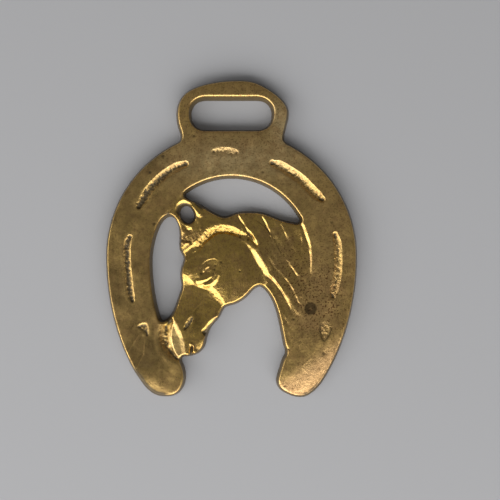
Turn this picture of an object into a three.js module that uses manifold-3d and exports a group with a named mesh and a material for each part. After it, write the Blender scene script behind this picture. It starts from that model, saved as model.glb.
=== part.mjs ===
// A cast horse brass: a horseshoe with a hanger loop above its toe and a horse's head in
// relief across its opening, all in one piece. It lies on its flat back.
//
// Millimetres, with X to the right, Y towards the hanger and Z out of the front. The origin
// is under the middle of the outline, in the plane of the back.

import * as THREE from 'three';
import Module from 'manifold-3d';
import { mergeVertices } from 'three/addons/utils/BufferGeometryUtils.js';

const wasm = await Module();
wasm.setup();

// The horseshoe, measured from the middle of its widest line.
const SHOE_WIDTH = 65.2;      // over both branches
const WEB_WIDTH = 12.1;       // of a branch, between its outer and its inner edge
const TOE_WIDTH = 12.5;       // of the web at the top, under the hanger
const OUTER_SWEEP = 47.3;     // half height of the oval that the branches' outer edge follows
const INNER_SWEEP = 32.2;     // the same for their inner edge
const INNER_DROP = 1.6;       // of the inner edge's widest line below the outer edge's
const HEEL_START = 50;        // degrees past the widest line where the inner edge ends
const HEEL_TURN = 40;         // the same for the outer edge
const HEEL_LENGTH = 8.45;     // of the rounded end past there
const PLATE = 3;              // thickness of the shoe and the hanger

// The hanger and the slot that the strap goes through.
const HANGER_WIDTH = 29.1;
const HANGER_HEIGHT = 14.4;
const HANGER_SINK = 1.4;      // of the hanger's foot below the top of the shoe
const HANGER_SHIFT = 0.2;     // of the hanger to the right of the shoe's middle
const TOP_BAR = 5.3;          // of metal over the slot
const SLOT_WIDTH = 20.8;
const SLOT_HEIGHT = 7.6;
const SLOT_CORNER = 3.4;      // radius

// The hole through the ear.
const EAR_HOLE_LENGTH = 4.7;
const EAR_HOLE_WIDTH = 3.4;
const EAR_HOLE_TILT = 18;     // degrees from upright

// The rounded and drafted edge, and the carving of the shoe.
const RIM_WIDTH = 1.15;
const RIM_GAP = 0.8;          // of front kept between two edges that are near each other
const FULLER_WIDTH = 2;       // of the sunk marks round the shoe
const FULLER_DEPTH = 0.9;
const WORN_LENGTH = 7.5;      // of the right heel's worn end
const WORN_DEPTH = 1.2;       // of that end below the shoe's face
const WORN_START = 35;        // degrees past the widest line where the wear begins
const WORN_WAY = 44;          // degrees below level that it deepens along

// The carving of the head.
const HEAD_SINK = 0.3;        // of mane and poll below the shoe's face
const NECK_SINK = 0.4;        // of the front of the neck below the mane
const JAW_SINK = 0.6;         // of the lower jaw below the shoe's face
const MUZZLE_HOLLOW = 1.1;    // sunk into the shoe round the muzzle
const MUZZLE_RISE = 0.3;      // of the muzzle's front edge over the rest of the nose
const MUZZLE_REACH = 5;       // of the slope down from that edge
const FACE_RISE = 0.35;       // of the face's edge above the shoe's face
const CHEEK_RISE = 1.2;       // of the cheek's crown above the shoe's face
const SLOPE_WIDTH = 1;        // of the slope round a raised or sunk part
const GROOVE_DEPTH = 0.8;     // of the groove behind the face
const GROOVE_REACH = 1.5;     // from its middle to its side
const CREASE_DEPTH = 0.4;     // of the lines that part the nose from the face and the jaw
const FOLD_RISE = 0.35;       // of the eyelids and the forelock
const LINE_REACH = 0.9;       // from the middle of a crease or fold to its side
const NOSTRIL_DEPTH = 0.5;
const NOSTRIL_REACH = 1.1;
const EYE_RISE = 0.3;
const EYE_RADIUS = 1.4;
const EAR_SINK = 0.6;         // of the ear's hollow
const EAR_RIM = 0.9;          // of the raised rim's crest outside the ear hole
const EAR_RIM_RISE = 0.3;
const LOCK_RISE = 0.4;        // of a lock of the mane over the next
const LOCK_WIDTH = 2.2;
const LOCK_CUT = 0.35;        // of the cut between two locks

// Spacing of the surface's points.
const EDGE_STEP = 1.2;
const PLAIN_STEP = 1.9;

const fineStep = EDGE_STEP / 1.5;
const halfWidth = SHOE_WIDTH / 2;
const innerHalf = halfWidth - WEB_WIDTH;
const innerRise = halfWidth - TOE_WIDTH + INNER_DROP;
const openingWidth = 2 * innerHalf;
const openingHeight = innerRise + INNER_SWEEP;
const radians = THREE.MathUtils.degToRad;

// A point of the shoe's outer or inner edge. The angle runs from the right over the top,
// and below the widest line the edge follows a taller oval than above it.
function outerEdge(degrees) {
  const angle = radians(degrees);
  const reach = Math.sin(angle) > 0 ? halfWidth : OUTER_SWEEP;
  return new THREE.Vector2(halfWidth * Math.cos(angle), reach * Math.sin(angle));
}

function innerEdge(degrees) {
  const angle = radians(degrees);
  const reach = Math.sin(angle) > 0 ? innerRise : INNER_SWEEP;
  return new THREE.Vector2(innerHalf * Math.cos(angle), reach * Math.sin(angle) - INNER_DROP);
}

function arc(edge, from, to) {
  const steps = 90;
  return Array.from({ length: steps + 1 }, (_, i) => edge(from + (to - from) * i / steps));
}

// A smooth curve through a few points, as a row of points.
function curveThrough(points) {
  return new THREE.SplineCurve(points).getPoints(points.length * 6);
}

function closedCurveThrough(points) {
  const path = points.map(({ x, y }) => new THREE.Vector3(x, y, 0));
  const curve = new THREE.CatmullRomCurve3(path, true);
  return curve.getPoints(points.length * 6).slice(0, -1).map(({ x, y }) => new THREE.Vector2(x, y));
}

// A point of the head, in hundredths of the opening's width and height from its middle.
function onHead([across, up]) {
  const y = up / 100 * openingHeight - INNER_DROP;
  return new THREE.Vector2(across / 100 * openingWidth, y);
}

const headCurve = (points) => curveThrough(points.map(onHead));
const headRegion = (points) => closedCurveThrough(points.map(onHead));

// A heel's rounded end, in hundredths of the web's width from the inner edge and of the
// heel's length past it.
const LEFT_HEEL = [[95, 25], [88, 57], [74, 85], [54, 100], [35, 104], [18, 93], [4, 66], [-1, 36]];
const RIGHT_HEEL = [[96, 28], [88, 60], [73, 90], [54, 101], [32, 101], [14, 93], [3, 72], [1, 35]];

function heel(shares, side) {
  const inner = innerEdge(-HEEL_START);
  const across = outerEdge(-HEEL_TURN).sub(inner);
  const along = new THREE.Vector2(across.y, -across.x).setLength(HEEL_LENGTH);
  const points = shares.map(([s, l]) => inner.clone()
    .addScaledVector(across, s / 100)
    .addScaledVector(along, l / 100));
  return points.map(({ x, y }) => new THREE.Vector2(side * x, y));
}

function shoeOutline() {
  const left = curveThrough(heel(LEFT_HEEL, -1));
  const right = curveThrough(heel(RIGHT_HEEL, 1));
  return [
    ...arc(outerEdge, -HEEL_TURN, 180 + HEEL_TURN),
    ...left,
    ...arc(innerEdge, 180 + HEEL_START, -HEEL_START),
    ...right.reverse(),
  ];
}

// The hanger's outline, in hundredths of its own width and height from the middle of its
// foot. The loop leans a little, as the casting does.
const HANGER = [[-46, 1], [-49, 20], [-50, 41], [-47.5, 62], [-40.5, 79], [-29, 90], [-13, 97.5],
  [4, 100], [18.5, 97.5], [31, 86], [41.5, 71], [48.5, 55], [50.5, 39], [48.5, 18], [46, -2]];

function hangerFoot() {
  return new THREE.Vector2(HANGER_SHIFT, halfWidth - HANGER_SINK);
}

function hangerOutline() {
  const foot = hangerFoot();
  const inWeb = -TOE_WIDTH / 2;
  const top = curveThrough(HANGER.map(([across, up]) => new THREE.Vector2(
    foot.x + across / 100 * HANGER_WIDTH,
    foot.y + up / 100 * HANGER_HEIGHT,
  )));
  return [
    ...top,
    new THREE.Vector2(top.at(-1).x, foot.y + inWeb),
    new THREE.Vector2(top[0].x, foot.y + inWeb),
  ];
}

function slotOutline() {
  const top = hangerFoot().y + HANGER_HEIGHT - TOP_BAR;
  const left = -SLOT_WIDTH / 2;
  const corner = Math.min(SLOT_CORNER, SLOT_HEIGHT / 2, SLOT_WIDTH / 2);
  const centres = [[left, top - SLOT_HEIGHT], [-left, top - SLOT_HEIGHT], [-left, top], [left, top]];
  const path = new THREE.Path();
  centres.forEach(([x, y], i) => {
    const centreX = x - Math.sign(x) * corner;
    const centreY = i < 2 ? y + corner : y - corner;
    path.absarc(centreX, centreY, corner, Math.PI * (1 + i / 2), Math.PI * (1.5 + i / 2), false);
  });
  return path.getPoints(10);
}

// An oval round the ear hole, at a margin outside its edge.
function earOval(margin) {
  const middle = onHead([-28, 23]);
  const path = new THREE.Path();
  path.absellipse(middle.x, middle.y, EAR_HOLE_WIDTH / 2 + margin, EAR_HOLE_LENGTH / 2 + margin,
    0, 2 * Math.PI, false, radians(EAR_HOLE_TILT));
  return path.getPoints(32);
}

// The head's outline runs from the ear down the face, round the muzzle, along the jaw and
// the throat, down the neck, and back along the crest. Its ear, muzzle and neck reach into
// the shoe.
const HEAD = [[-43.5, 19.5], [-41, 21.5], [-37.5, 22], [-34.5, 19.5], [-33, 14.5], [-33, 9.5],
  [-33, 6], [-30, 2], [-32, -2.5], [-32.5, -7.5], [-31.5, -11.5], [-33.5, -16], [-36, -22],
  [-39.5, -26.5], [-46, -29.5], [-47, -40], [-39, -45.5], [-31.5, -45.5], [-22.5, -44.5],
  [-17, -41], [-15.5, -36.5], [-13, -31.5], [-7.5, -26.5], [-4, -21.5], [1.5, -20.5],
  [8.5, -17.5], [15, -12.5], [18, -11.5], [22, -14], [26, -19], [29, -26], [31.5, -35],
  [34, -42.5], [37.5, -44.5], [53, -33], [58.5, -6.5], [55, 10.5], [47, 18.5], [41.5, 19],
  [32, 20.5], [19.5, 24], [10, 24.5], [3, 24], [-4, 22], [-11, 24], [-21, 28.5],
  [-27.5, 30.5], [-34, 34.5], [-42, 27.5]];

// The parts of the head that stand at heights of their own, and the ground they cover.
const carved = headRegion([[-50, 22], [-38, 36], [0, 45], [38, 36], [56, 10], [57, -10], [50, -35],
  [36, -50], [0, -35], [-20, -52], [-46, -50], [-54, -34], [-44, -14]]);
const face = headRegion([[-36, 0], [-30, 2], [-22, 3.5], [-15, 8], [-9, 12.5], [-3, 14],
  [4, 11.5], [11, 8], [16, 1], [21, -4.5], [19.5, -10.5], [13, -18], [4, -24], [-2, -25],
  [-7, -20], [-12.5, -15], [-17.5, -13], [-25, -11], [-36, -10.5]]);
const nose = headRegion([[-37.5, -11.5], [-25, -11], [-17.5, -13], [-12.5, -15], [-7, -20],
  [-2, -24], [-7.5, -25], [-15, -31], [-20.5, -33.5], [-24.5, -38.5], [-27.5, -45], [-34, -45],
  [-39, -40.5], [-41, -35.5], [-39.5, -30.5], [-40.5, -21]]);
const jaw = headRegion([[-1, -21.5], [-7.5, -25], [-15, -31], [-20.5, -33.5], [-24.5, -38.5],
  [-27.5, -46], [-20, -48], [-11, -42], [-8, -33]]);
const muzzleHollow = headRegion([[-39, -26], [-43.5, -31], [-45.5, -37], [-42, -43], [-36, -46.5],
  [-26, -46], [-30, -36], [-34, -28]]);
const opening = arc(innerEdge, -HEEL_START, 180 + HEEL_START);
const neck = headRegion([[18, -9], [21, -5], [26.5, -9], [32.5, -15.5], [37.5, -22], [41, -29],
  [37, -41], [30, -46], [20, -32], [13, -16]]);
const earRim = earOval(EAR_RIM);
const earHollow = headRegion([[-33, 17], [-30, 20], [-26.5, 19], [-25.5, 15], [-29, 13]]);

// Lines between the locks of the mane, from the crest down. The lock on the right of each
// line lies over the one on its left.
const LOCKS = [[[3.5, 24], [10, 17], [17, 8]], [[4, 18], [6.5, 14]], [[19, 22.5], [23.5, 15.5], [26.5, 9]],
  [[24, 9], [24.5, 3]], [[31, 20.5], [33.5, 14], [36, 8]], [[24, 2.5], [34, -7.5], [43, -19.5]],
  [[32, 8], [37, 0], [42, -7]], [[21, -4.5], [32.5, -15.5], [40.5, -26]]].map(headCurve);

const faceLine = headCurve([[-31, 2], [-22, 3.5], [-15, 8], [-9, 12.5], [-3, 14], [4, 11.5],
  [11, 8], [16, 1], [21, -4.5]]);
const noseLine = headCurve([[-33, -11], [-25, -11], [-17.5, -13], [-12.5, -15], [-7, -20], [-3, -24]]);
const jawLine = headCurve([[-7.5, -25], [-15, -31], [-20.5, -33.5], [-24.5, -38.5], [-27, -45]]);
const upperLid = headCurve([[-20, -3], [-15.5, 0.5], [-11, 1.5], [-6.5, -0.5]]);
const lowerLid = headCurve([[-21, -9], [-15, -7], [-9, -4]]);
const cheekBone = headCurve([[-17.5, -12], [-11.5, -9], [-8, -4.5]]);
const nostril = headCurve([[-25.5, -25.5], [-27, -28.5], [-29, -32]]);
const forelock = headCurve([[-30, 4], [-24, 9.5]]);
const muzzleEdge = headCurve([[-39.5, -27], [-41.5, -35], [-39, -40.5], [-34, -45]]);
const cheekMiddle = onHead([3, -2]);
const cheekReach = onHead([21, 17]).sub(cheekMiddle);
const eyeMiddle = onHead([-13.5, -3]);

// The sunk marks of a horseshoe's nail creases, each along the middle of the web between
// two angles, with shares of the marks' width and depth.
const FULLERS = [
  { from: 100, to: 87, width: 0.9, depth: 0.6 },
  { from: 119, to: 150, width: 1.2, depth: 1 },
  { from: 65, to: 35, width: 1.25, depth: 1 },
  { from: 168, to: 193, width: 0.85, depth: 1 },
  { from: 13, to: -14, width: 1, depth: 1 },
  { from: 205, to: 209, width: 1, depth: 0.7 },
  { from: -26, to: -31, width: 1.1, depth: 0.8 },
].map(({ from, to, width, depth }) => ({
  path: arc((a) => outerEdge(a).lerp(innerEdge(a), 0.5), from, to).filter((_, i) => i % 6 === 0),
  reach: width * FULLER_WIDTH / 2,
  depth: depth * FULLER_DEPTH,
}));

// The right heel is worn thin: the wear starts at the middle of the web and deepens along
// one direction, towards the outer side of the heel's end.
const wornStart = outerEdge(-WORN_START).lerp(innerEdge(-WORN_START), 0.5);
const wornWay = new THREE.Vector2(Math.cos(radians(-WORN_WAY)), Math.sin(radians(-WORN_WAY)));

function wornShare(p) {
  return Math.max(0, p.clone().sub(wornStart).dot(wornWay) / WORN_LENGTH) ** 2;
}

// The nearest place of a path to a point: how far, how far along as a share, and on which
// side, positive to the left of the path's direction.
function nearest(path, p) {
  let best = { distance: Infinity };
  for (let i = 0; i < path.length - 1; i += 1) {
    const a = path[i];
    const ax = path[i + 1].x - a.x;
    const ay = path[i + 1].y - a.y;
    const px = p.x - a.x;
    const py = p.y - a.y;
    const t = THREE.MathUtils.clamp((px * ax + py * ay) / (ax * ax + ay * ay || 1), 0, 1);
    const distance = Math.hypot(px - t * ax, py - t * ay);
    if (distance < best.distance) {
      best = { distance, along: (i + t) / (path.length - 1), side: Math.sign(ax * py - ay * px) };
    }
  }
  return best;
}

function isInside(loops, p) {
  let inside = false;
  for (const loop of loops) {
    for (let i = 0, j = loop.length - 1; i < loop.length; j = i, i += 1) {
      const a = loop[i];
      const b = loop[j];
      if ((a.y > p.y) !== (b.y > p.y) && p.x < (b.x - a.x) * (p.y - a.y) / (b.y - a.y) + a.x) {
        inside = !inside;
      }
    }
  }
  return inside;
}

// 1 inside a region, 0 outside, with a slope of the given width across its edge.
function cover(region, p, slope) {
  const { distance } = nearest([...region, region[0]], p);
  const depth = isInside([region], p) ? distance : -distance;
  return THREE.MathUtils.smoothstep(depth, -slope / 2, slope / 2);
}

// A round-bottomed trough or, upside down, a ridge along a path: 1 on it, 0 at its reach.
function trough(path, p, reach) {
  const { distance } = nearest(path, p);
  return 1 - THREE.MathUtils.smoothstep(distance, 0, reach);
}

// A lock's edge: cut in on its left, high on its right, and falling away over the lock's
// width and towards both ends.
function lockEdge(path, p) {
  const { distance, along, side } = nearest(path, p);
  const taper = Math.min(1, 5 * along + 0.4, 5 * (1 - along) + 0.2);
  const high = side > 0 ? Math.exp(-distance / LOCK_WIDTH) : -1.2 * Math.exp(-2 * distance / LOCK_WIDTH);
  return high * taper * THREE.MathUtils.smoothstep(distance, 0, LOCK_CUT);
}

// Height of the front above the back at a point, before the rounded rim.
function heightAt(p) {
  let z = PLATE - WORN_DEPTH * wornShare(p);
  for (const { path, reach, depth } of FULLERS) {
    z -= depth * (1 - THREE.MathUtils.smoothstep(nearest(path, p).distance, reach * 0.35, reach));
  }
  if (!isInside([carved], p)) {
    return z;
  }

  const poll = THREE.MathUtils.smoothstep(p.y, -0.4 * openingHeight, -0.1 * openingHeight);
  z -= HEAD_SINK * poll * cover(opening, p, SLOPE_WIDTH);
  z -= NECK_SINK * cover(neck, p, 1.4 * SLOPE_WIDTH);
  for (const path of LOCKS) {
    z += LOCK_RISE * lockEdge(path, p);
  }

  const fromCheek = Math.hypot((p.x - cheekMiddle.x) / cheekReach.x, (p.y - cheekMiddle.y) / cheekReach.y);
  const cheek = FACE_RISE + (CHEEK_RISE - FACE_RISE) * Math.sqrt(Math.max(0, 1 - fromCheek ** 2));
  const muzzle = MUZZLE_RISE * trough(muzzleEdge, p, MUZZLE_REACH);
  z = THREE.MathUtils.lerp(z, PLATE - MUZZLE_HOLLOW, cover(muzzleHollow, p, SLOPE_WIDTH));
  z = THREE.MathUtils.lerp(z, PLATE - JAW_SINK, cover(jaw, p, 0.8 * SLOPE_WIDTH));
  z = THREE.MathUtils.lerp(z, PLATE + muzzle, cover(nose, p, 0.8 * SLOPE_WIDTH));
  z = THREE.MathUtils.lerp(z, PLATE + cheek, cover(face, p, SLOPE_WIDTH));

  z -= GROOVE_DEPTH * trough(faceLine, p, GROOVE_REACH);
  z -= CREASE_DEPTH * trough(noseLine, p, LINE_REACH);
  z -= 0.75 * CREASE_DEPTH * trough(jawLine, p, LINE_REACH);
  z += FOLD_RISE * trough(upperLid, p, LINE_REACH);
  z += FOLD_RISE * trough(lowerLid, p, LINE_REACH);
  z += 0.7 * FOLD_RISE * trough(cheekBone, p, LINE_REACH);
  z -= NOSTRIL_DEPTH * trough(nostril, p, NOSTRIL_REACH);
  z += FOLD_RISE * trough(forelock, p, 1.3 * LINE_REACH);
  z += EYE_RISE * Math.max(0, 1 - p.distanceTo(eyeMiddle) / EYE_RADIUS);
  z -= EAR_SINK * cover(earHollow, p, SLOPE_WIDTH);
  z += EAR_RIM_RISE * trough(earRim, p, EAR_RIM);
  return z;
}

function prism(outline) {
  const shape = new THREE.Shape(outline);
  const geometry = new THREE.ExtrudeGeometry(shape, { depth: PLATE, bevelEnabled: false });
  geometry.deleteAttribute('normal');
  geometry.deleteAttribute('uv');
  const merged = mergeVertices(geometry, 1e-4);
  return new wasm.Manifold(new wasm.Mesh({
    numProp: 3,
    vertProperties: new Float32Array(merged.attributes.position.array),
    triVerts: new Uint32Array(merged.index.array),
  }));
}

// The closed outlines of a flat solid's top face, each with the metal on its left.
function outlinesOf(solid) {
  const { vertProperties: v, triVerts: t } = solid.getMesh();
  const onTop = (i) => v[3 * i + 2] > PLATE / 2;
  const edges = new Set();
  for (let i = 0; i < t.length; i += 3) {
    const corners = [t[i], t[i + 1], t[i + 2]];
    if (corners.every(onTop)) {
      corners.forEach((a, k) => edges.add(`${a} ${corners[(k + 1) % 3]}`));
    }
  }
  const next = new Map();
  for (const edge of edges) {
    const [a, b] = edge.split(' ');
    if (!edges.has(`${b} ${a}`)) {
      next.set(Number(a), Number(b));
    }
  }
  const loops = [];
  while (next.size) {
    const loop = [];
    let [at] = next.keys();
    while (next.has(at)) {
      loop.push(new THREE.Vector2(v[3 * at], v[3 * at + 1]));
      const following = next.get(at);
      next.delete(at);
      at = following;
    }
    loops.push(loop);
  }
  return loops;
}

const leftOf = (direction) => new THREE.Vector2(-direction.y, direction.x);

// The same closed line with its points evenly spaced.
function respaced(loop, spacing) {
  const lengths = [0];
  loop.forEach((p, i) => lengths.push(lengths[i] + p.distanceTo(loop[(i + 1) % loop.length])));
  const count = Math.round(lengths.at(-1) / spacing);
  const points = [];
  let i = 0;
  for (let k = 0; k < count; k += 1) {
    const along = lengths.at(-1) * k / count;
    while (lengths[i + 1] <= along) {
      i += 1;
    }
    const share = (along - lengths[i]) / (lengths[i + 1] - lengths[i]);
    points.push(loop[i].clone().lerp(loop[(i + 1) % loop.length], share));
  }
  return points;
}

// Sharp corners come out of the mould a little round.
function softened(loop) {
  let points = respaced(loop, EDGE_STEP / 3);
  for (let pass = 0; pass < 4; pass += 1) {
    points = points.map((p, i) => points.at(i - 1).clone()
      .add(points[(i + 1) % points.length])
      .multiplyScalar(0.25)
      .addScaledVector(p, 0.5));
  }
  return respaced(points, EDGE_STEP);
}

// For each point of each loop, the step into the metal that carries the whole rim. It is
// shorter where another edge is near on the far side of the metal.
function rimSteps(loops) {
  const all = loops.flatMap((loop, l) => loop.map((p, i) => ({ p, l, i, count: loop.length })));
  return loops.map((loop, l) => {
    const steps = loop.map((p, i) => {
      const after = loop[(i + 1) % loop.length];
      const inward = leftOf(after.clone().sub(loop.at(i - 1)).normalize());
      let across = Infinity;
      for (const other of all) {
        const apart = Math.abs(other.i - i);
        const near = other.l === l && Math.min(apart, other.count - apart) * EDGE_STEP < 4 * RIM_WIDTH;
        const towards = other.p.clone().sub(p);
        if (!near && towards.dot(inward) > 0.6 * towards.length()) {
          across = Math.min(across, towards.length());
        }
      }
      return { inward, width: Math.min(RIM_WIDTH, (across - RIM_GAP) / 2) };
    });
    return steps.map(({ inward, width }, i) => {
      const beside = Math.min(steps.at(i - 1).width, steps[(i + 1) % steps.length].width);
      return inward.multiplyScalar(Math.min(width, beside + EDGE_STEP / 8));
    });
  });
}

// Triangles over scattered points, each one's circumcircle empty of the others.
function triangulate(points) {
  const far = 20 * SHOE_WIDTH;
  const round = [[-far, -far], [far, -far], [0, far]].map(([x, y]) => new THREE.Vector2(x, y));
  const all = [...points, ...round];
  const circle = (a, b, c) => {
    const A = all[a];
    const bx = all[b].x - A.x;
    const by = all[b].y - A.y;
    const cx = all[c].x - A.x;
    const cy = all[c].y - A.y;
    const d = 2 * (bx * cy - by * cx);
    const x = (cy * (bx * bx + by * by) - by * (cx * cx + cy * cy)) / d;
    const y = (bx * (cx * cx + cy * cy) - cx * (bx * bx + by * by)) / d;
    return { corners: [a, b, c], x: A.x + x, y: A.y + y, r2: x * x + y * y };
  };
  let triangles = [circle(points.length, points.length + 1, points.length + 2)];
  points.forEach((p, n) => {
    const rim = new Map();
    const kept = [];
    for (const triangle of triangles) {
      if ((p.x - triangle.x) ** 2 + (p.y - triangle.y) ** 2 < triangle.r2) {
        triangle.corners.forEach((a, k) => {
          const b = triangle.corners[(k + 1) % 3];
          if (!rim.delete(`${b} ${a}`)) {
            rim.set(`${a} ${b}`, [a, b]);
          }
        });
      } else {
        kept.push(triangle);
      }
    }
    for (const [a, b] of rim.values()) {
      kept.push(circle(a, b, n));
    }
    triangles = kept;
  });
  return triangles.map(({ corners }) => corners).filter((corners) => corners.every((i) => i < points.length));
}

// Points for the front inside the rim: close together on the head and along the carved
// lines, wider apart on the plain web.
function frontPoints(innerLoops, bounds) {
  const points = innerLoops.flat();
  const isFree = (p, gap) => points.every((q) => Math.abs(q.x - p.x) > gap || q.distanceTo(p) > gap);
  const edges = innerLoops.map((loop) => [...loop, loop[0]]);
  const isClear = (p, gap) => edges.every((edge) => nearest(edge, p).distance > gap);
  const add = (p, gap) => {
    if (isInside(innerLoops, p) && isFree(p, gap) && isClear(p, 0.75 * gap)) {
      points.push(p);
    }
  };
  const addRows = (path, step, offsets) => {
    const curve = new THREE.SplineCurve(path);
    const count = Math.max(2, Math.round(curve.getLength() / step));
    for (let i = 0; i <= count; i += 1) {
      const side = leftOf(curve.getTangentAt(i / count));
      for (const offset of offsets) {
        add(curve.getPointAt(i / count).addScaledVector(side, offset), 0.6 * fineStep);
      }
    }
  };
  LOCKS.forEach((path) => addRows(path, fineStep, [LOCK_CUT, -LOCK_CUT]));
  addRows(faceLine, fineStep, [0, GROOVE_REACH / 2, -GROOVE_REACH / 2]);
  addRows(arc(innerEdge, -30, 35), fineStep, [SLOPE_WIDTH / 2, -SLOPE_WIDTH / 2]);
  [noseLine, jawLine, muzzleEdge].forEach((path) => {
    addRows(path, fineStep, [LINE_REACH / 2, -LINE_REACH / 2]);
  });
  [upperLid, lowerLid, cheekBone, nostril, forelock].forEach((path) => addRows(path, fineStep, [0]));
  FULLERS.forEach(({ path, reach }) => {
    addRows(path, 1.5 * fineStep, [-1.05 * reach, -0.35 * reach, 0.35 * reach, 1.05 * reach]);
  });
  for (const [step, region] of [[fineStep, [carved]], [PLAIN_STEP, innerLoops]]) {
    const rowStep = step * Math.sqrt(3) / 2;
    for (let row = 0; bounds.min.y + row * rowStep < bounds.max.y; row += 1) {
      for (let x = bounds.min.x + (row % 2) * step / 2; x < bounds.max.x; x += step) {
        const p = new THREE.Vector2(x, bounds.min.y + row * rowStep);
        if (isInside(region, p)) {
          add(p, 0.72 * step);
        }
      }
    }
  }
  return points;
}

// Share of the rim's step and of the height there, from the back's edge up to the front.
const RIM_PROFILE = [[0, 0], [0.31, 0.6], [0.52, 0.88], [1, 1]];

function casting() {
  const flat = prism(shoeOutline())
    .add(prism(hangerOutline()))
    .add(prism(headRegion(HEAD)))
    .subtract(prism(slotOutline()))
    .subtract(prism(earOval(0)));
  const loops = outlinesOf(flat).map(softened);
  const steps = rimSteps(loops);
  const bounds = new THREE.Box2().setFromPoints(loops.flat());
  const middle = bounds.getCenter(new THREE.Vector2());

  const inner = loops.map((loop, l) => loop.map((p, i) => p.clone().add(steps[l][i])));
  const front = frontPoints(inner, bounds);
  const heights = front.map(heightAt);
  const ringSize = loops.flat().length;
  const positions = [];
  RIM_PROFILE.slice(0, -1).forEach(([inset, share]) => {
    loops.flat().forEach((p, i) => {
      const { x, y } = p.clone().addScaledVector(steps.flat()[i], inset).sub(middle);
      positions.push(x, y, share * heights[i]);
    });
  });
  front.forEach(({ x, y }, i) => positions.push(x - middle.x, y - middle.y, heights[i]));

  const index = [];
  for (let ring = 0; ring < RIM_PROFILE.length - 1; ring += 1) {
    let start = ring * ringSize;
    for (const loop of loops) {
      for (let i = 0; i < loop.length; i += 1) {
        const a = start + i;
        const b = start + (i + 1) % loop.length;
        index.push(a, b, b + ringSize, a, b + ringSize, a + ringSize);
      }
      start += loop.length;
    }
  }
  const frontStart = (RIM_PROFILE.length - 1) * ringSize;
  for (const [a, b, c] of triangulate(front)) {
    const centre = front[a].clone().add(front[b]).add(front[c]).divideScalar(3);
    if (isInside(inner, centre)) {
      index.push(frontStart + a, frontStart + b, frontStart + c);
    }
  }
  const outer = loops.findIndex((loop) => !THREE.ShapeUtils.isClockWise(loop));
  const order = [loops[outer], ...loops.filter((_, l) => l !== outer)];
  const backStart = loops.map((_, l) => loops.slice(0, l).flat().length);
  const backIndex = order.flatMap((loop) => loop.map((_, i) => backStart[loops.indexOf(loop)] + i));
  for (const [a, b, c] of THREE.ShapeUtils.triangulateShape(order[0], order.slice(1))) {
    index.push(backIndex[a], backIndex[c], backIndex[b]);
  }

  const geometry = new THREE.BufferGeometry();
  geometry.setAttribute('position', new THREE.Float32BufferAttribute(positions, 3));
  geometry.setIndex(index);
  geometry.computeVertexNormals();
  return geometry;
}

const brass = new THREE.MeshStandardMaterial({ color: 0x8a7440, roughness: 0.38, metalness: 1 });

const horseBrass = new THREE.Mesh(casting(), brass);
horseBrass.name = 'horse_brass';

const part = new THREE.Group();
part.add(horseBrass);

export default part;
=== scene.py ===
import bpy
import numpy as np
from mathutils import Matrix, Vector
from mathutils.geometry import delaunay_2d_cdt

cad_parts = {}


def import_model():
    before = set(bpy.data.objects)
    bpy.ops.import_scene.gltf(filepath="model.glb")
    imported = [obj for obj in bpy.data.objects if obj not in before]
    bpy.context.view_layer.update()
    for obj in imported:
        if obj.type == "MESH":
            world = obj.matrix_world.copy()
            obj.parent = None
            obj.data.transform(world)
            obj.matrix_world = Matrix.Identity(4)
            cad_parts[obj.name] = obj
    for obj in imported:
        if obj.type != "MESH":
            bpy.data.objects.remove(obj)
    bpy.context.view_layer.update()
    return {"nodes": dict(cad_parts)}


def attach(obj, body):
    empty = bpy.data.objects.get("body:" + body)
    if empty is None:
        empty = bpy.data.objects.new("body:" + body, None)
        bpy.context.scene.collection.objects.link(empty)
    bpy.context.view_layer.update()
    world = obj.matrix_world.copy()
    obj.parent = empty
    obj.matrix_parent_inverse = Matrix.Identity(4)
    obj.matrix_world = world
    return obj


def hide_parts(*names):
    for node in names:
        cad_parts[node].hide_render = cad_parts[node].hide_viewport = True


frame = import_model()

scene = bpy.context.scene
scene.view_settings.view_transform = "Standard"

# The view: the brass lies on its back and is seen from straight above, with the top of the
# picture towards the hanger. It takes up two thirds of the picture's height, left of the middle.
VIEW_MIDDLE = (0.0048, -0.0029)
VIEW_WIDTH = 0.130
VIEW_HEIGHT = 0.270
SENSOR_WIDTH = 36.0

camera_data = bpy.data.cameras.new("camera")
camera_data.sensor_width = SENSOR_WIDTH
camera_data.lens = SENSOR_WIDTH * VIEW_HEIGHT / VIEW_WIDTH
camera = bpy.data.objects.new("camera", camera_data)
camera.location = (*VIEW_MIDDLE, VIEW_HEIGHT)
scene.collection.objects.link(camera)
scene.camera = camera

# The casting: one piece of yellow brass, poured in sand, with a horse's head in relief across
# a horseshoe and a loop for the strap above it. The front was filed and polished by hand, and
# the sunk places keep the rough skin of the mould. All sizes here are in millimetres.
PLATE = 3.0
MM_PER_METRE = 1000
WELD_DIGITS = 3
BACK_LIMIT = 0.01
EDGE_PARTS = 5
FAR = 1e3


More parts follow.
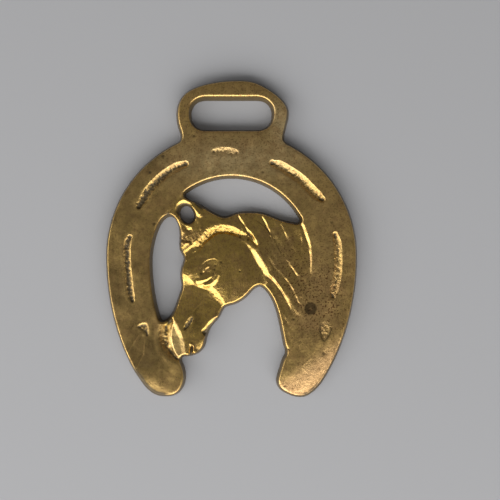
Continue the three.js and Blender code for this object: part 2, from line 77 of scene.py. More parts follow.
def outline_of(node):
    """The edge of the casting's flat back, with the metal on its left: the places of its
    points, and for each point which one follows. An edge of a back triangle belongs to it
    where no other back triangle has the same edge the other way round."""
    mesh = frame["nodes"][node].data
    mesh.calc_loop_triangles()
    places = np.empty(3 * len(mesh.vertices), np.float32)
    mesh.vertices.foreach_get("co", places)
    corners = np.empty(3 * len(mesh.loop_triangles), np.int32)
    mesh.loop_triangles.foreach_get("vertices", corners)
    places = np.round(places.reshape(-1, 3) * MM_PER_METRE, WELD_DIGITS)
    places, welded = np.unique(places, axis=0, return_inverse=True)
    triangles = welded.reshape(-1)[corners].reshape(-1, 3)
    back = triangles[(places[triangles, 2] < BACK_LIMIT).all(axis=1)]
    edges = np.concatenate([back[:, [1, 0]], back[:, [2, 1]], back[:, [0, 2]]])
    forward = edges[:, 0].astype(np.int64) * len(places) + edges[:, 1]
    backward = edges[:, 1].astype(np.int64) * len(places) + edges[:, 0]
    rim = edges[~np.isin(forward, backward)]
    rim = rim[np.argsort(rim[:, 0])]
    return places[rim[:, 0], :2].astype(float), np.searchsorted(rim[:, 0], rim[:, 1])


def before(following):
    """For each point the one that it follows."""
    index = np.empty_like(following)
    index[following] = np.arange(len(following))
    return index


def cubic(a, b, c, d, parts):
    """Points from b on towards c, in even parts t of the way, on the Catmull-Rom cubic through
    a, b, c and d: half of 2 b + (c - a) t + (2 a - 5 b + 4 c - d) t squared
    + (3 b - a - 3 c + d) t cubed. Each is an array of places, worked out all at once."""
    t = (np.arange(parts) / parts)[None, :, None]
    a, b, c, d = (x[:, None, :] for x in (a, b, c, d))
    line = 0.5 * (2 * b + (c - a) * t + (2 * a - 5 * b + 4 * c - d) * t**2
                  + (3 * b - a - 3 * c + d) * t**3)
    return line.reshape(-1, 2)


def rounded(places, following, parts):
    """A smooth closed line through the points, in a few parts from each to the next along the
    cubic through its neighbours, and for each new point which one follows."""
    line = cubic(places[before(following)], places, places[following],
                 places[following[following]], parts)
    index = np.arange(len(places) * parts).reshape(-1, parts) + 1
    index[:, -1] = following * parts
    return line, index.reshape(-1)


def curve(*points, parts=6):
    """A smooth open line through a few points, by the same cubic. Each end is carried on
    straight to a point beyond it, twice the last minus the last but one."""
    p = np.array(points, float)
    p = np.concatenate([[2 * p[0] - p[1]], p, [2 * p[-1] - p[-2]]])
    return np.concatenate([cubic(p[:-3], p[1:-2], p[2:-1], p[3:], parts), p[-2:-1]])


def patch(*points, parts=5):
    """A smooth closed line through a few points, by the same cubic, with its first point
    again at its end."""
    count = len(points)
    line, _ = rounded(np.array(points, float), (np.arange(count) + 1) % count, parts)
    return np.concatenate([line, line[:1]])


def eased(value, low, high):
    """0 below low, 1 above high, and an even S between them: t squared times (3 - 2 t)."""
    t = np.clip((value - low) / (high - low), 0, 1)
    return t * t * (3 - 2 * t)


def nearest(places, line, reach):
    """For every place within reach of a line's box: how far the line is, how far along it as
    a share, and on which side, 1 to the left of its direction and -1 to the right."""
    distance = np.full(len(places), FAR)
    along = np.zeros(len(places))
    side = np.ones(len(places))
    near = np.flatnonzero(((places > line.min(0) - reach) & (places < line.max(0) + reach)).all(axis=1))
    p = places[near]
    best, where, which = distance[near], along[near], side[near]
    for i, (a, b) in enumerate(zip(line[:-1], line[1:])):
        step = b - a
        t = np.clip((p - a) @ step / (step @ step + 1e-12), 0, 1)
        off = p - a - t[:, None] * step
        apart = np.hypot(off[:, 0], off[:, 1])
        closer = apart < best
        best[closer] = apart[closer]
        where[closer] = (i + t[closer]) / (len(line) - 1)
        turn = step[0] * (p[:, 1] - a[1]) - step[1] * (p[:, 0] - a[0])
        which[closer] = np.where(turn[closer] >= 0, 1.0, -1.0)
    distance[near], along[near], side[near] = best, where, which
    return distance, along, side


# How many places are compared with whole lines at a time.
GROUP = 1000


def inside(places, starts, ends):
    """True for the places that closed lines go round: a ray to the right crosses them an odd
    number of times. The lines are given by the two ends of each of their parts."""
    (ax, ay), (bx, by) = starts.T, ends.T
    lean = (bx - ax) / np.where(by == ay, 1, by - ay)
    odd = np.zeros(len(places), bool)
    for first in range(0, len(places), GROUP):
        x, y = places[first:first + GROUP].T[:, :, None]
        crossed = ((ay > y) != (by > y)) & (x < lean * (y - ay) + ax)
        odd[first:first + GROUP] = crossed.sum(axis=1) % 2 == 1
    return odd


def cover(places, line, slope):
    """1 on a patch and 0 off it, with an almost even slope of the given width across its edge:
    three quarters of a straight ramp and one quarter of an S."""
    distance, _, _ = nearest(places, line, np.max(slope))
    depth = np.where(inside(places, line[:-1], line[1:]), distance, -distance)
    return 0.75 * np.clip(depth / slope + 0.5, 0, 1) + 0.25 * eased(depth, -slope / 2, slope / 2)


def blended(first, second, share):
    """A value between two others by a share: first + (second - first) times the share."""
    return first + (second - first) * share


LATTICE_SIZE = 512
LATTICE_MIDDLE = 200
LATTICE_TURNS = (0.4, 1.3)
LATTICE_SHARE = 0.7
SEED_STEP = 500


def mottled(places, size, seed):
    """Smooth unevenness from about -1 to 1: random values at the corners of two square lattices
    turned against each other, each place blended between the four round it, and the two
    added. The blend is t cubed times (10 - 15 t + 6 t squared), which leaves no creases."""
    total = 0
    for turn in LATTICE_TURNS:
        corners = np.random.default_rng(seed).uniform(-1, 1, (LATTICE_SIZE, LATTICE_SIZE))
        seed += SEED_STEP
        turned = places @ np.array([[np.cos(turn), np.sin(turn)], [-np.sin(turn), np.cos(turn)]])
        at = turned / size + LATTICE_MIDDLE
        cell = np.floor(at).astype(int)
        t = at - cell
        share = t**3 * (10 - 15 * t + 6 * t**2)
        x, y = (cell % (LATTICE_SIZE - 1)).T
        left = blended(corners[x, y], corners[x, y + 1], share[:, 1])
        right = blended(corners[x + 1, y], corners[x + 1, y + 1], share[:, 1])
        total = total + LATTICE_SHARE * blended(left, right, share[:, 0])
    return total


def uneven(places, layers):
    """Mottling of more than one size: the sum of layers, each given by height, size and seed."""
    return sum(height * mottled(places, size, seed) for height, size, seed in layers)


def spot(places, middle, size):
    """1 in the middle of a round or oval spot, falling as exp(-(distance / size) squared)."""
    return np.exp(-np.sum(((places - np.array(middle)) / size) ** 2, axis=1))


def spots(places, table):
    """The sum of some spots, each given by its middle, its size and its height."""
    return sum(height * spot(places, middle, size) for middle, size, height in table)


def trough(places, line, reach, flat=0.0):
    """1 along a line, falling as an S to 0 at its reach, with a flat share of the reach in the
    middle."""
    distance, _, _ = nearest(places, line, reach)
    return 1 - eased(distance, flat * reach, reach)


GOUGE_END = 0.65
GOUGE_END_SHARE = 0.15
GOUGE_ROUND = 0.7


def gouged(places, line, reach):
    """A groove along a line: 1 in its middle and 0 from the reach on, with a profile that is
    partly an S and partly round, 1 - (distance / reach) squared. Towards both ends the reach
    goes down to a share of itself."""
    distance, along, _ = nearest(places, line, reach)
    here = reach * blended(GOUGE_END, 1, eased(np.minimum(along, 1 - along), 0, GOUGE_END_SHARE))
    return (1 - (1 - GOUGE_ROUND) * eased(distance, 0, here)
            - GOUGE_ROUND * np.clip(distance / here, 0, 1) ** 2)


def scooped(places, line, reach):
    """A round-bottomed trough along a line: 1 - (distance / reach) squared."""
    distance, _, _ = nearest(places, line, reach)
    return np.clip(1 - (distance / reach) ** 2, 0, 1)


LOCK_REACH = 6
LOCK_START = 1 / 7
LOCK_STOP = 1 / 9
CUT_DEPTH = 1.1
CUT_FALL = 2.2
CREST_WIDTH = 0.28


def lock_edge(places, line, first, last, spread):
    """The edge of a lock that lies over the next one. On the left of the line it stands up by
    exp(-distance / spread), and on its right it is cut in by 1.1 exp(-2.2 distance / spread).
    The height goes evenly from the first one to the last along the line, and comes up from
    nothing at both ends and across the line itself."""
    distance, along, side = nearest(places, line, LOCK_REACH * spread)
    ends = np.minimum(1, np.minimum(along / LOCK_START, (1 - along) / LOCK_STOP))
    high = np.exp(-distance / spread)
    cut = -CUT_DEPTH * np.exp(-CUT_FALL * distance / spread)
    rise = blended(first, last, along) * ends * eased(distance, 0, CREST_WIDTH)
    return np.where(side > 0, high, cut) * rise


STEP_REACH = 5
STEP_FALL = 1.6
STEP_ENDS = (-0.02, 0.22)


def sloped(places, line, high, low, width):
    """A step along a line: the given height on its left and on its right, with an S of the
    given width between them. Both die away as exp(-(distance / (1.6 widths)) squared), and
    towards the line's ends."""
    distance, along, side = nearest(places, line, STEP_REACH * width)
    share = eased(distance * side, -width / 2, width / 2)
    fade = np.exp(-((distance / (STEP_FALL * width)) ** 2))
    return blended(low, high, share) * fade * eased(np.minimum(along, 1 - along), *STEP_ENDS)


# The shoe's opening, an oval that reaches further down than up.
OPENING_MIDDLE = -6.08
OPENING_HALF_WIDTH = 20.5
OPENING_UP = 21.7
OPENING_DOWN = 32.2
turns = np.radians(np.arange(0, 360, 12))
OPENING = patch(*np.column_stack([
    OPENING_HALF_WIDTH * np.cos(turns),
    OPENING_MIDDLE + np.where(np.sin(turns) > 0, OPENING_UP, OPENING_DOWN) * np.sin(turns)]))

# Marks of the nails round the shoe: the line of each, its width and its depth. Each groove
# reaches a little further than half its width.
NAIL_MARK_SPARE = 0.22
NAIL_MARKS = [
     (curve((-4.5, 22.4), (-1.6, 22.5), (1.3, 22.2)), 1.8, 0.27), (curve((-11.8, 19.2),
    (-13.9, 18.4), (-16.0, 17.2), (-17.8, 15.9), (-19.6, 14.2), (-21.2, 12.4), (-22.5, 10.3),
    (-23.8, 8.2)), 2.1, 0.72), (curve((10.5, 19.4), (12.6, 18.6), (15.2, 17.1), (17.8, 15.3),
    (19.9, 13.2), (21.7, 11.4), (23.3, 10.1)), 2.3, 0.75), (curve((-26.1, 0.4), (-26.8, -1.6),
    (-26.9, -4.2), (-26.8, -6.8), (-26.4, -10.7), (-25.9, -14.6), (-25.5, -15.9)), 1.6, 0.5),
    (curve((26.7, 1.0), (27.3, -1.6), (27.4, -4.2), (27.4, -8.1), (26.9, -11.3), (26.4, -13.3),
    (26.1, -14.9)), 1.9, 0.55),]

# The hollows of the last nails, close to the heels: the edge of each and its depth.
NAIL_HOLLOW_SLOPE = 0.8
NAIL_HOLLOWS = [
     (patch((-24.0, -22.7), (-22.9, -22.0), (-21.9, -22.1), (-21.5, -23.4), (-21.6, -24.9),
    (-22.6, -24.0)), 0.27), (patch((22.9, -22.3), (24.2, -21.7), (25.5, -22.6), (25.4, -24.3),
    (24.0, -26.3), (23.0, -25.0)), 0.14),]

# The worn ends of the heels: where the wear of each begins, which way it deepens, and how far
# on it is counted. The left heel also thickens a little towards its end.
RIGHT_WEAR = ((21.5, -27.5), (0.6, -0.8), 12)
RIGHT_WEAR_DEPTH = 0.044
RIGHT_WEAR_EASING = 0.16
LEFT_WEAR = ((-22, -33.5), (-0.55, -0.83), 6)
LEFT_WEAR_DEPTH = 0.035
LEFT_RISE = 0.024
LEFT_RISE_START = -27
LEFT_RISE_LENGTH = 9


def wear(places, start, way, longest):
    """How far a place lies past the line through the start where a heel's wear begins: its
    distance along the way, held between 0 and the longest. It is 0 on the other heel's side."""
    same_side = places[:, 0] * start[0] > 0
    return np.where(same_side, np.clip((places - np.array(start)) @ np.array(way), 0, longest), 0)


# The head lies inside the opening, where the face of the plate is sunk: the depth on the left
# and on the right, the width of the slope at its border below and above, and where both change.
SUNK_DEPTHS = (0.42, 0.54)
SUNK_FROM = (-14, -3)
SUNK_SLOPES = (0.65, 0.90)
SUNK_SLOPES_FROM = (-8, -2)
EAR_FOOT = ((-14.2, 8.6), 3.6)
HEAD_SLOPE = 2.0

# The band round the face: its line from the brow over the poll, down the back of the jaw and
# into the neck, and how far along it the band starts, reaches the jaw and runs out.
FACE_LINE = curve((-12.3, -5.1), (-10.8, -4.8), (-9.2, -3.8), (-8.1, -2.5), (-6.9, -1.1), (-5.6, 0.2),
                  (-4.2, 1.1), (-2.5, 1.5), (-0.7, 1.4), (1.2, 0.6), (3.0, -0.5), (4.4, -1.5), (5.5, -2.9),
                  (6.5, -4.9), (7.5, -6.7), (8.8, -8.5), (10.1, -9.9), (11.4, -11.3))
BAND_REACH = 6
BAND_OUTSIDE = -9.0
BAND_STARTS = (0.13, 0.22)
BAND_AT_JAW = (0.56, 0.66)
BAND_TO_NECK = (0.72, 0.98)

# Its measures at its start, over the brow and at the jaw.
BAND_SHIFT = (0.35, 0.35, 0.65)
OUTER_WIDTH = (0.9, 2.6, 2.2)
OUTER_EVENNESS = (0, 0, 0.75)
INNER_WIDTH = (2.8, 2.8, 3.2)
GROOVE_DEPTH = (0.273, 0.663, 0.663)
GROOVE_UNEVENNESS = (0.2, 0.2, 0)
BANK_HEIGHT = (0, 0.2, 0.85)
CREST_HEIGHT = (0, 0.35, 0)
BANK_WIDTH = 4.5
CREST_PLACE = 2.5
CREST_SIZE = 1.1
NECK_NARROWING = 0.5
NECK_LOSS = 0.85
GROOVE_LAYER = (1, 1.7, 27)


def band(places):
    """The band's height. A groove runs along the line. Its inner side comes up as an S and its
    outer side over the outer width, partly as an S and partly as an even ramp. Beyond it a
    bank falls as exp(-(distance / 4.5) squared), and over the brow a narrow crest stands up."""
    distance, along, side = nearest(places, FACE_LINE, BAND_REACH)
    started, at_jaw = eased(along, *BAND_STARTS), eased(along, *BAND_AT_JAW)
    to_neck = eased(along, *BAND_TO_NECK)

    def here(start, brow, jaw):
        """The measure at each place, between its values at the start, the brow and the jaw."""
        return blended(blended(start, brow, started), jaw, at_jaw)

    outward = np.where(distance < BAND_REACH, distance * side + here(*BAND_SHIFT), BAND_OUTSIDE)
    width = here(*OUTER_WIDTH) * (1 - NECK_NARROWING * to_neck)
    ramp = blended(eased(outward, 0, width), np.clip(outward / width, 0, 1), here(*OUTER_EVENNESS))
    groove = 1 - np.where(outward > 0, ramp, eased(-outward, 0, here(*INNER_WIDTH)))
    groove *= here(*GROOVE_DEPTH) * (1 - NECK_LOSS * to_neck)
    groove *= 1 + here(*GROOVE_UNEVENNESS) * uneven(places, [GROOVE_LAYER])
    bank = np.where(outward < width, ramp, np.exp(-(((outward - width) / BANK_WIDTH) ** 2)))
    bank = np.where(outward > 0, bank, 0) * here(*BANK_HEIGHT) * (1 - to_neck)
    crest = np.exp(-(((outward - CREST_PLACE) / CREST_SIZE) ** 2)) * here(*CREST_HEIGHT)
    return crest + bank - groove


# The face, a raised patch with a domed cheek, a bump at the brow and a dip before the eye. The
# slope at its border has a width of its own, and more near some places.
FACE = patch(
    (-15.0, -5.5), (-12.3, -5.1), (-9.2, -3.8), (-6.9, -1.1), (-4.2, 1.1), (-2.5, 1.5), (-0.7, 1.4),
    (3.4, 0.2), (7.4, -1.4), (9.7, -5.2), (9.3, -8.8), (7.8, -12.0), (5.3, -15.4), (1.7, -18.5),
    (-0.7, -18.9), (-1.9, -17.1), (-3.2, -15.3), (-4.7, -13.6), (-6.2, -12.5), (-8.2, -12.1),
    (-10.2, -11.3), (-12.4, -10.5), (-15.0, -10.4))
FACE_SLOPE = 0.8
FACE_STEP = ((-4.0, -14.2), 3.2)
FACE_SLOPE_MORE = [((7.8, -3.0), (4.0, 4.2), 4.0), ((8.6, -10.3), 2.0, 2.2), (*FACE_STEP, 1.1)]
FOREHEAD_SLOPE_MORE = 1.8
FOREHEAD_X = (-11.6, -9.6)
FOREHEAD_Y = (-9, -7)
CHEEK_MIDDLE = (1.2, -7.6)
CHEEK_REACH = (8.6, 9.2)
CHEEK_POWER = 2.4
CHEEK_EDGE = 0.50
CHEEK_RISE = 0.6
CHEEK_DIP = ((-9.0, -11.0), (1.1, 1.6), -0.36)
BROW_Y = -8.9
BROW_SIZE = 1.6
BROW_X = (-11.0, -9.2)
BROW_LEFT = -16
BROW_RISE = 0.45

# The nose and mouth, raised towards the lips, with the flat front of the muzzle falling away
# from its edge, first steeply and then less.
NOSE = patch(
    (-16.0, -11.5), (-10.3, -11.0), (-7.2, -12.0), (-5.0, -13.2), (-3.4, -15.0), (-2.0, -16.8),
    (-0.7, -18.6), (-2.6, -19.8), (-4.6, -21.3), (-6.3, -23.1), (-7.3, -24.1), (-6.6, -25.0),
    (-5.4, -25.8), (-5.6, -29.0), (-8.0, -31.4), (-11.2, -31.6), (-13.9, -30.6), (-15.2, -28.9),
    (-15.9, -26.8), (-16.1, -24.8), (-15.8, -22.6), (-15.4, -20.6), (-16.5, -17.2))
NOSE_SLOPE = 0.9
NOSE_SLOPE_MORE = [((-5.2, -21.9), (2.8, 2.2), 0.9)]
MUZZLE_SLOPE_MORE = 0.8
MUZZLE_SLOPE_X = (-16.0, 1.2)
MUZZLE_SLOPE_Y = (-22, -19)
NOSE_RISE = 0.4
NOSE_RISE_Y = (-23, -14)
MUZZLE_FRONT = curve((-15.2, -20.3), (-14.2, -21.4), (-13.1, -23.6), (-12.2, -26.1), (-11.7, -29.4))
MUZZLE_FRONT_REACH = 6
MUZZLE_FRONT_Y = (-21.5, -19.5)
MUZZLE_STEEP_PART = 1.1
MUZZLE_STEEP_FALL = 0.36
MUZZLE_FALL = 0.16


def past_muzzle_edge(places):
    """How far a place lies beyond the edge of the muzzle's flat front, on its right as it runs
    down, and 0 elsewhere."""
    distance, _, side = nearest(places, MUZZLE_FRONT, MUZZLE_FRONT_REACH)
    return np.where((distance < MUZZLE_FRONT_REACH) & (side < 0), distance, 0)


# Sunk parts round the head: the edge of the jaw behind the chin, the hollow beside the muzzle,
# and the front of the neck.
JAW = patch(
    (0.8, -16.4), (-1.4, -17.6), (-3.6, -19.2), (-5.6, -21.0), (-7.2, -22.7), (-8.0, -24.0),
    (-6.8, -25.6), (-4.0, -26.0), (-1.0, -23.0))
MUZZLE_HOLLOW = patch(
    (-15.5, -19.6), (-17.3, -21.7), (-18.1, -23.7), (-18.3, -25.8), (-17.7, -27.9), (-16.4, -29.6),
    (-14.4, -30.9), (-10.8, -30.8), (-12.9, -25.0), (-14.0, -21.7))
NECK_FRONT = patch(
    (6.9, -11.3), (8.7, -8.5), (10.8, -11.0), (13.4, -14.5), (15.5, -18.0), (16.8, -21.1),
    (15.5, -26.3), (13.4, -31.0), (7.9, -21.1), (4.8, -13.9))
JAW_DEPTH = 0.75
JAW_SLOPE = 0.8
MUZZLE_HOLLOW_DEPTH = 1.3
MUZZLE_HOLLOW_SLOPE = 1.9
NECK_DEPTH = 0.30
NECK_SLOPE = 1.5
NECK_Y = (-21, -14)

# The mane's locks: the line of each, its height at both ends, and how far it spreads. Fine
# strands run along all of them, and the locks are broken up by unevenness.
LOCKS = [
     (curve((0.9, 7.6), (1.8, 6.0), (2.9, 4.2), (3.8, 2.9), (4.6, 1.6), (5.4, 0.6), (6.6, -1.2)),
    0.22, 0.5, 1.3), (curve((1.9, 3.9), (2.4, 3.0), (2.9, 2.2)), 0.2, 0.2, 0.8), (curve((7.0, 7.4),
    (7.9, 5.8), (8.8, 4.2), (9.6, 2.6), (10.2, 1.2), (10.7, -0.3)), 0.16, 0.46, 1.4),
    (curve((10.2, -0.2), (10.3, -1.6), (10.2, -3.5)), 0.1, 0.1, 0.8), (curve((11.7, 6.2),
    (12.5, 4.4), (13.3, 2.6), (13.9, 1.4), (14.5, -0.4)), 0.07, 0.15, 1.4), (curve((10.6, -6.6),
    (11.9, -8.0), (13.6, -9.9), (14.9, -11.5), (15.9, -13.2), (17.2, -15.9), (17.7, -17.0)), 0.04,
    0.32, 1.0), (curve((13.7, -4.7), (14.7, -6.1), (15.5, -7.2), (16.4, -8.6), (17.2, -9.8)), 0.12,
    0.19, 1.0), (curve((17.4, 3.6), (18.1, -0.9), (17.9, -5.0), (17.4, -7.6)), 0.18, 0.12, 0.8),
    (curve((8.9, -8.4), (10.0, -9.8), (11.4, -11.2), (12.6, -12.9), (13.6, -14.6), (14.6, -16.5),
    (15.3, -18.0), (16.4, -20.2)), 0.42, 0.12, 1.1), (curve((9.0, -3.6), (10.2, -5.4),
    (11.2, -6.9)), 0.07, 0.07, 0.8),]
LOCK_END = curve((4.2, 2.6), (5.4, 1.1), (6.5, -0.6), (7.3, -2.2))
CRACK = curve((4.4, 0.4), (5.5, -0.7), (6.5, -1.8))
LOCK_SHARE = 0.75
LOCK_LAYER = (0.45, 1.3, 14)
STRANDS_ACROSS = (0.86, 0.51)
STRANDS_ALONG = (-0.51, 0.86)
STRANDS_STRETCH = 0.18
STRANDS_LAYER = (0.09, 0.9, 13)
STRANDS_FROM = (2, 6)

# The eye: lids over a shallow hollow with a low ball in it, sunk corners darkened by painted shade, and
# the bone below.
EYE = (-5.5, -7.9)
EYE_BALL = 0.16
EYE_BALL_SIZE = 1.3
EYE_DARKS = [(-4.1, -6.8), (-2.6, -6.0), (-7.8, -9.0), (-4.3, -7.9)]
UPPER_LID = curve((-8.0, -7.4), (-7.5, -6.5), (-6.6, -5.7), (-5.4, -5.2), (-4.2, -5.1), (-3.4, -5.5))
INNER_LID = curve((-7.1, -8.3), (-6.7, -7.6), (-5.8, -7.0))
LOWER_LID = curve((-8.6, -10.9), (-7.4, -10.8), (-6.2, -10.4), (-5.1, -9.5))
CHEEK_BONE = curve((-6.6, -12.0), (-5.2, -11.3), (-4.3, -10.5), (-3.6, -9.2))

# The nose's crease, nostril, mouth and chin. The nostril's floor leans down towards its lower
# right side. The chin is a step with its height on the left, on the right, and its width.
NOSE_CREASE = curve((-7.3, -16.0), (-8.2, -17.0), (-9.1, -18.0), (-10.0, -19.3))
NOSTRIL = patch(
    (-9.9, -19.7), (-10.0, -20.8), (-10.5, -21.9), (-11.1, -22.8), (-12.0, -23.4), (-12.0, -22.7),
    (-11.7, -21.7), (-11.1, -20.7), (-10.5, -19.9))
MOUTH = curve((-10.5, -30.2), (-10.3, -28.9), (-10.1, -27.9))
NOSTRIL_SLOPE = 0.5
NOSTRIL_DEPTH = 0.30
NOSTRIL_LEAN = 0.35
NOSTRIL_MIDDLE = (-10.9, -21.5)
NOSTRIL_WAY = (0.45, -0.6)
MOUTH_REACH = 0.5
MOUTH_DEPTH = 0.8
LIPS = [curve((-11.6, -30.1), (-11.0, -28.4), (-10.4, -27.0)),
        curve((-10.4, -27.0), (-9.8, -27.7), (-9.4, -29.0))]
CHIN = (curve((-7.3, -25.6), (-7.4, -27.0), (-7.9, -28.3), (-9.2, -29.5)), 0.1, -0.35, 0.8)
CHIN_Y = (-28.6, -25.6)

# The forelock in front of the ear: three strands on a small leaning patch.
FORELOCK = [
    curve((-12.5, -3.7), (-11.2, -2.4), (-10.0, -1.4), (-9.0, -0.4)), curve((-12.8, -2.4),
    (-11.9, -1.4), (-11.0, -1.0)), curve((-10.9, -4.3), (-9.6, -3.3), (-8.6, -2.6))]
FORELOCK_PATCH = patch(
    (-13.8, -1.8), (-12.9, -0.9), (-11.4, -0.9), (-10.4, -1.8), (-11.0, -3.0), (-12.4, -3.9),
    (-13.6, -3.4))
FORELOCK_RISE = 0.10
FORELOCK_RISE_SLOPE = 0.5
FORELOCK_SLOPE = 0.8
FORELOCK_LEAN = 0.3
FORELOCK_Y = -2.2

# The ear, round its oval hole: a rim that dips towards its tip, folds and a rough base.
EAR_HOLE = np.array([-11.5, 6.3])
EAR_HALF = (1.75, 2.45)
EAR_TILT = np.radians(20)
turns = np.radians(np.arange(0, 360, 30))
across, up = EAR_HALF[0] * np.cos(turns), EAR_HALF[1] * np.sin(turns)
EAR_EDGE = patch(*EAR_HOLE + np.column_stack([
    across * np.cos(EAR_TILT) - up * np.sin(EAR_TILT),
    across * np.sin(EAR_TILT) + up * np.cos(EAR_TILT)]))
EAR_TIP = (-0.6, 0.8)
EAR_TIP_FROM = (0.1, 0.8)
EAR_RIM_WIDTH = 1.4
EAR_RIM_DEPTH = 0.85
EAR_ROLL = curve((-10.6, 9.0), (-9.6, 8.1), (-8.4, 6.6), (-7.8, 5.3))
EAR_LEFT = curve((-14.0, 6.0), (-13.2, 4.1), (-12.5, 2.0))
EAR_BACK = curve((-8.7, 5.0), (-8.0, 3.6), (-7.7, 2.4))
EAR_ROLL_HEIGHT = 0.5
EAR_ROLL_REACH = 1.2
EAR_ROLL_START = (0.0, 0.3)
EAR_ROLL_STOP = (0.7, 1.0)
EAR_HOLLOW = patch(
    (-12.9, 3.9), (-12.1, 3.7), (-11.2, 2.8), (-10.3, 2.3), (-10.8, 1.5), (-12.0, 1.4), (-12.8, 2.4))
EAR_HOLLOW_DEPTH = 0.35
EAR_HOLLOW_SLOPE = 1.0
EAR_BASE = patch(
    (-13.6, 3.4), (-10.6, 2.6), (-8.2, 2.0), (-7.0, 0.6), (-8.6, -1.2), (-10.6, -1.6),
    (-12.6, -0.6), (-13.6, 1.0))
EAR_BASE_SLOPE = 1.5

# Carved lines of the whole head. Ridges have a height and a reach, and a trough's height is
# below 0. Steps have a height on the left, one on the right, and a width.
RIDGES = [
    (CRACK, -0.40, 0.5), (UPPER_LID, 0.07, 0.3), (INNER_LID, 0.20, 0.4), (LOWER_LID, 0.32, 0.8),
    (CHEEK_BONE, 0.48, 1.1), *[(line, 0.20, 0.45) for line in LIPS],
    *[(line, 0.26, 0.55) for line in FORELOCK], (EAR_LEFT, 0.45, 1.1), (EAR_BACK, 0.10, 0.6),
]
STEPS = [
    (LOCK_END, 0.10, -0.55, 1.2), (UPPER_LID, 0.03, -0.08, 0.3), (LOWER_LID, 0.15, -0.10, 0.8),
    (NOSE_CREASE, -0.04, 0.06, 0.35),
]

# The mould's rough skin, coarser along the crest of the brow and in the hollow beside the
# muzzle, and how rough some places are from 0 to 1. Layers are height, size and seed.
SKIN = patch(
    (-6.4, 2.8), (-4.3, 3.9), (-2.4, 4.0), (0.0, 3.1), (2.4, 1.9), (4.6, 0.9), (5.2, -0.6),
    (3.6, -0.7), (1.0, 0.9), (-0.7, 1.7), (-2.5, 1.8), (-4.4, 1.4), (-5.6, 0.6), (-8.0, -3.0),
    (-9.4, -2.2), (-7.6, 0.4))
SKIN_SLOPE = 0.6
SKIN_ROUGHNESS = 0.9
SKIN_COARSER = 0.7
HOLLOW_COARSER = 0.9
NAIL_MARK_ROUGHNESS = 2.5
EAR_ROUGHNESS = 0.8
BROW_ROUGHNESS = 0.9
BROW_ROUGH_FROM = (0.25, 0.6)
STEP_ROUGHNESS = 0.5
STEP_ROUGH_FROM = (1.2, 1.6)
PLATE_LAYERS = [(0.085, 8, 11), (0.020, 2.4, 12)]
SKIN_LAYERS = [(0.035, 0.9, 21), (0.075, 0.45, 22)]
HEAD_LAYERS = [(0.030, 1.6, 23), (0.012, 0.6, 24)]

# Small pits, and the fine raised edges of scratches, higher on the left than on the right.
PITS = [
    (-17.6, 21.2), (-20.9, 17.1), (-19.9, 3.8), (2.2, -8.3), (17.6, -26.6), (14.7, -28.4),
    (23.8, -29.5), (-2.7, 3.0), (-4.5, 1.5), (-4.0, 2.0), (0.1, 1.6), (2.2, 0.4), (4.3, -0.3),
    (16.0, -20.6), (-24.2, 9.1), (8.1, 17.2), (-9.6, 26.4), (25.8, 4.2)]
SCRATCHES = [np.array(line) for line in [
    ((-23.8, -24.8), (-26.4, -28.9)), ((-22.2, -25.8), (-22.5, -29.5)), ((-22.5, -29.5), (-24.3, -33.1)),
    ((18.3, -32.6), (20.7, -30.5)), ((18.3, -33.2), (19.6, -34.5)), ((-2.2, -6.0), (-0.4, -2.9))]]
SCRATCH_HEIGHTS = (0.040, 0.028)
SCRATCH_REACH = 0.26
SUNK_SPOTS = [
    (EYE, 2.2, 0.16), *[(dark, 0.28, 0.07) for dark in EYE_DARKS], *[(pit, 0.22, 0.14) for pit in
    PITS]]


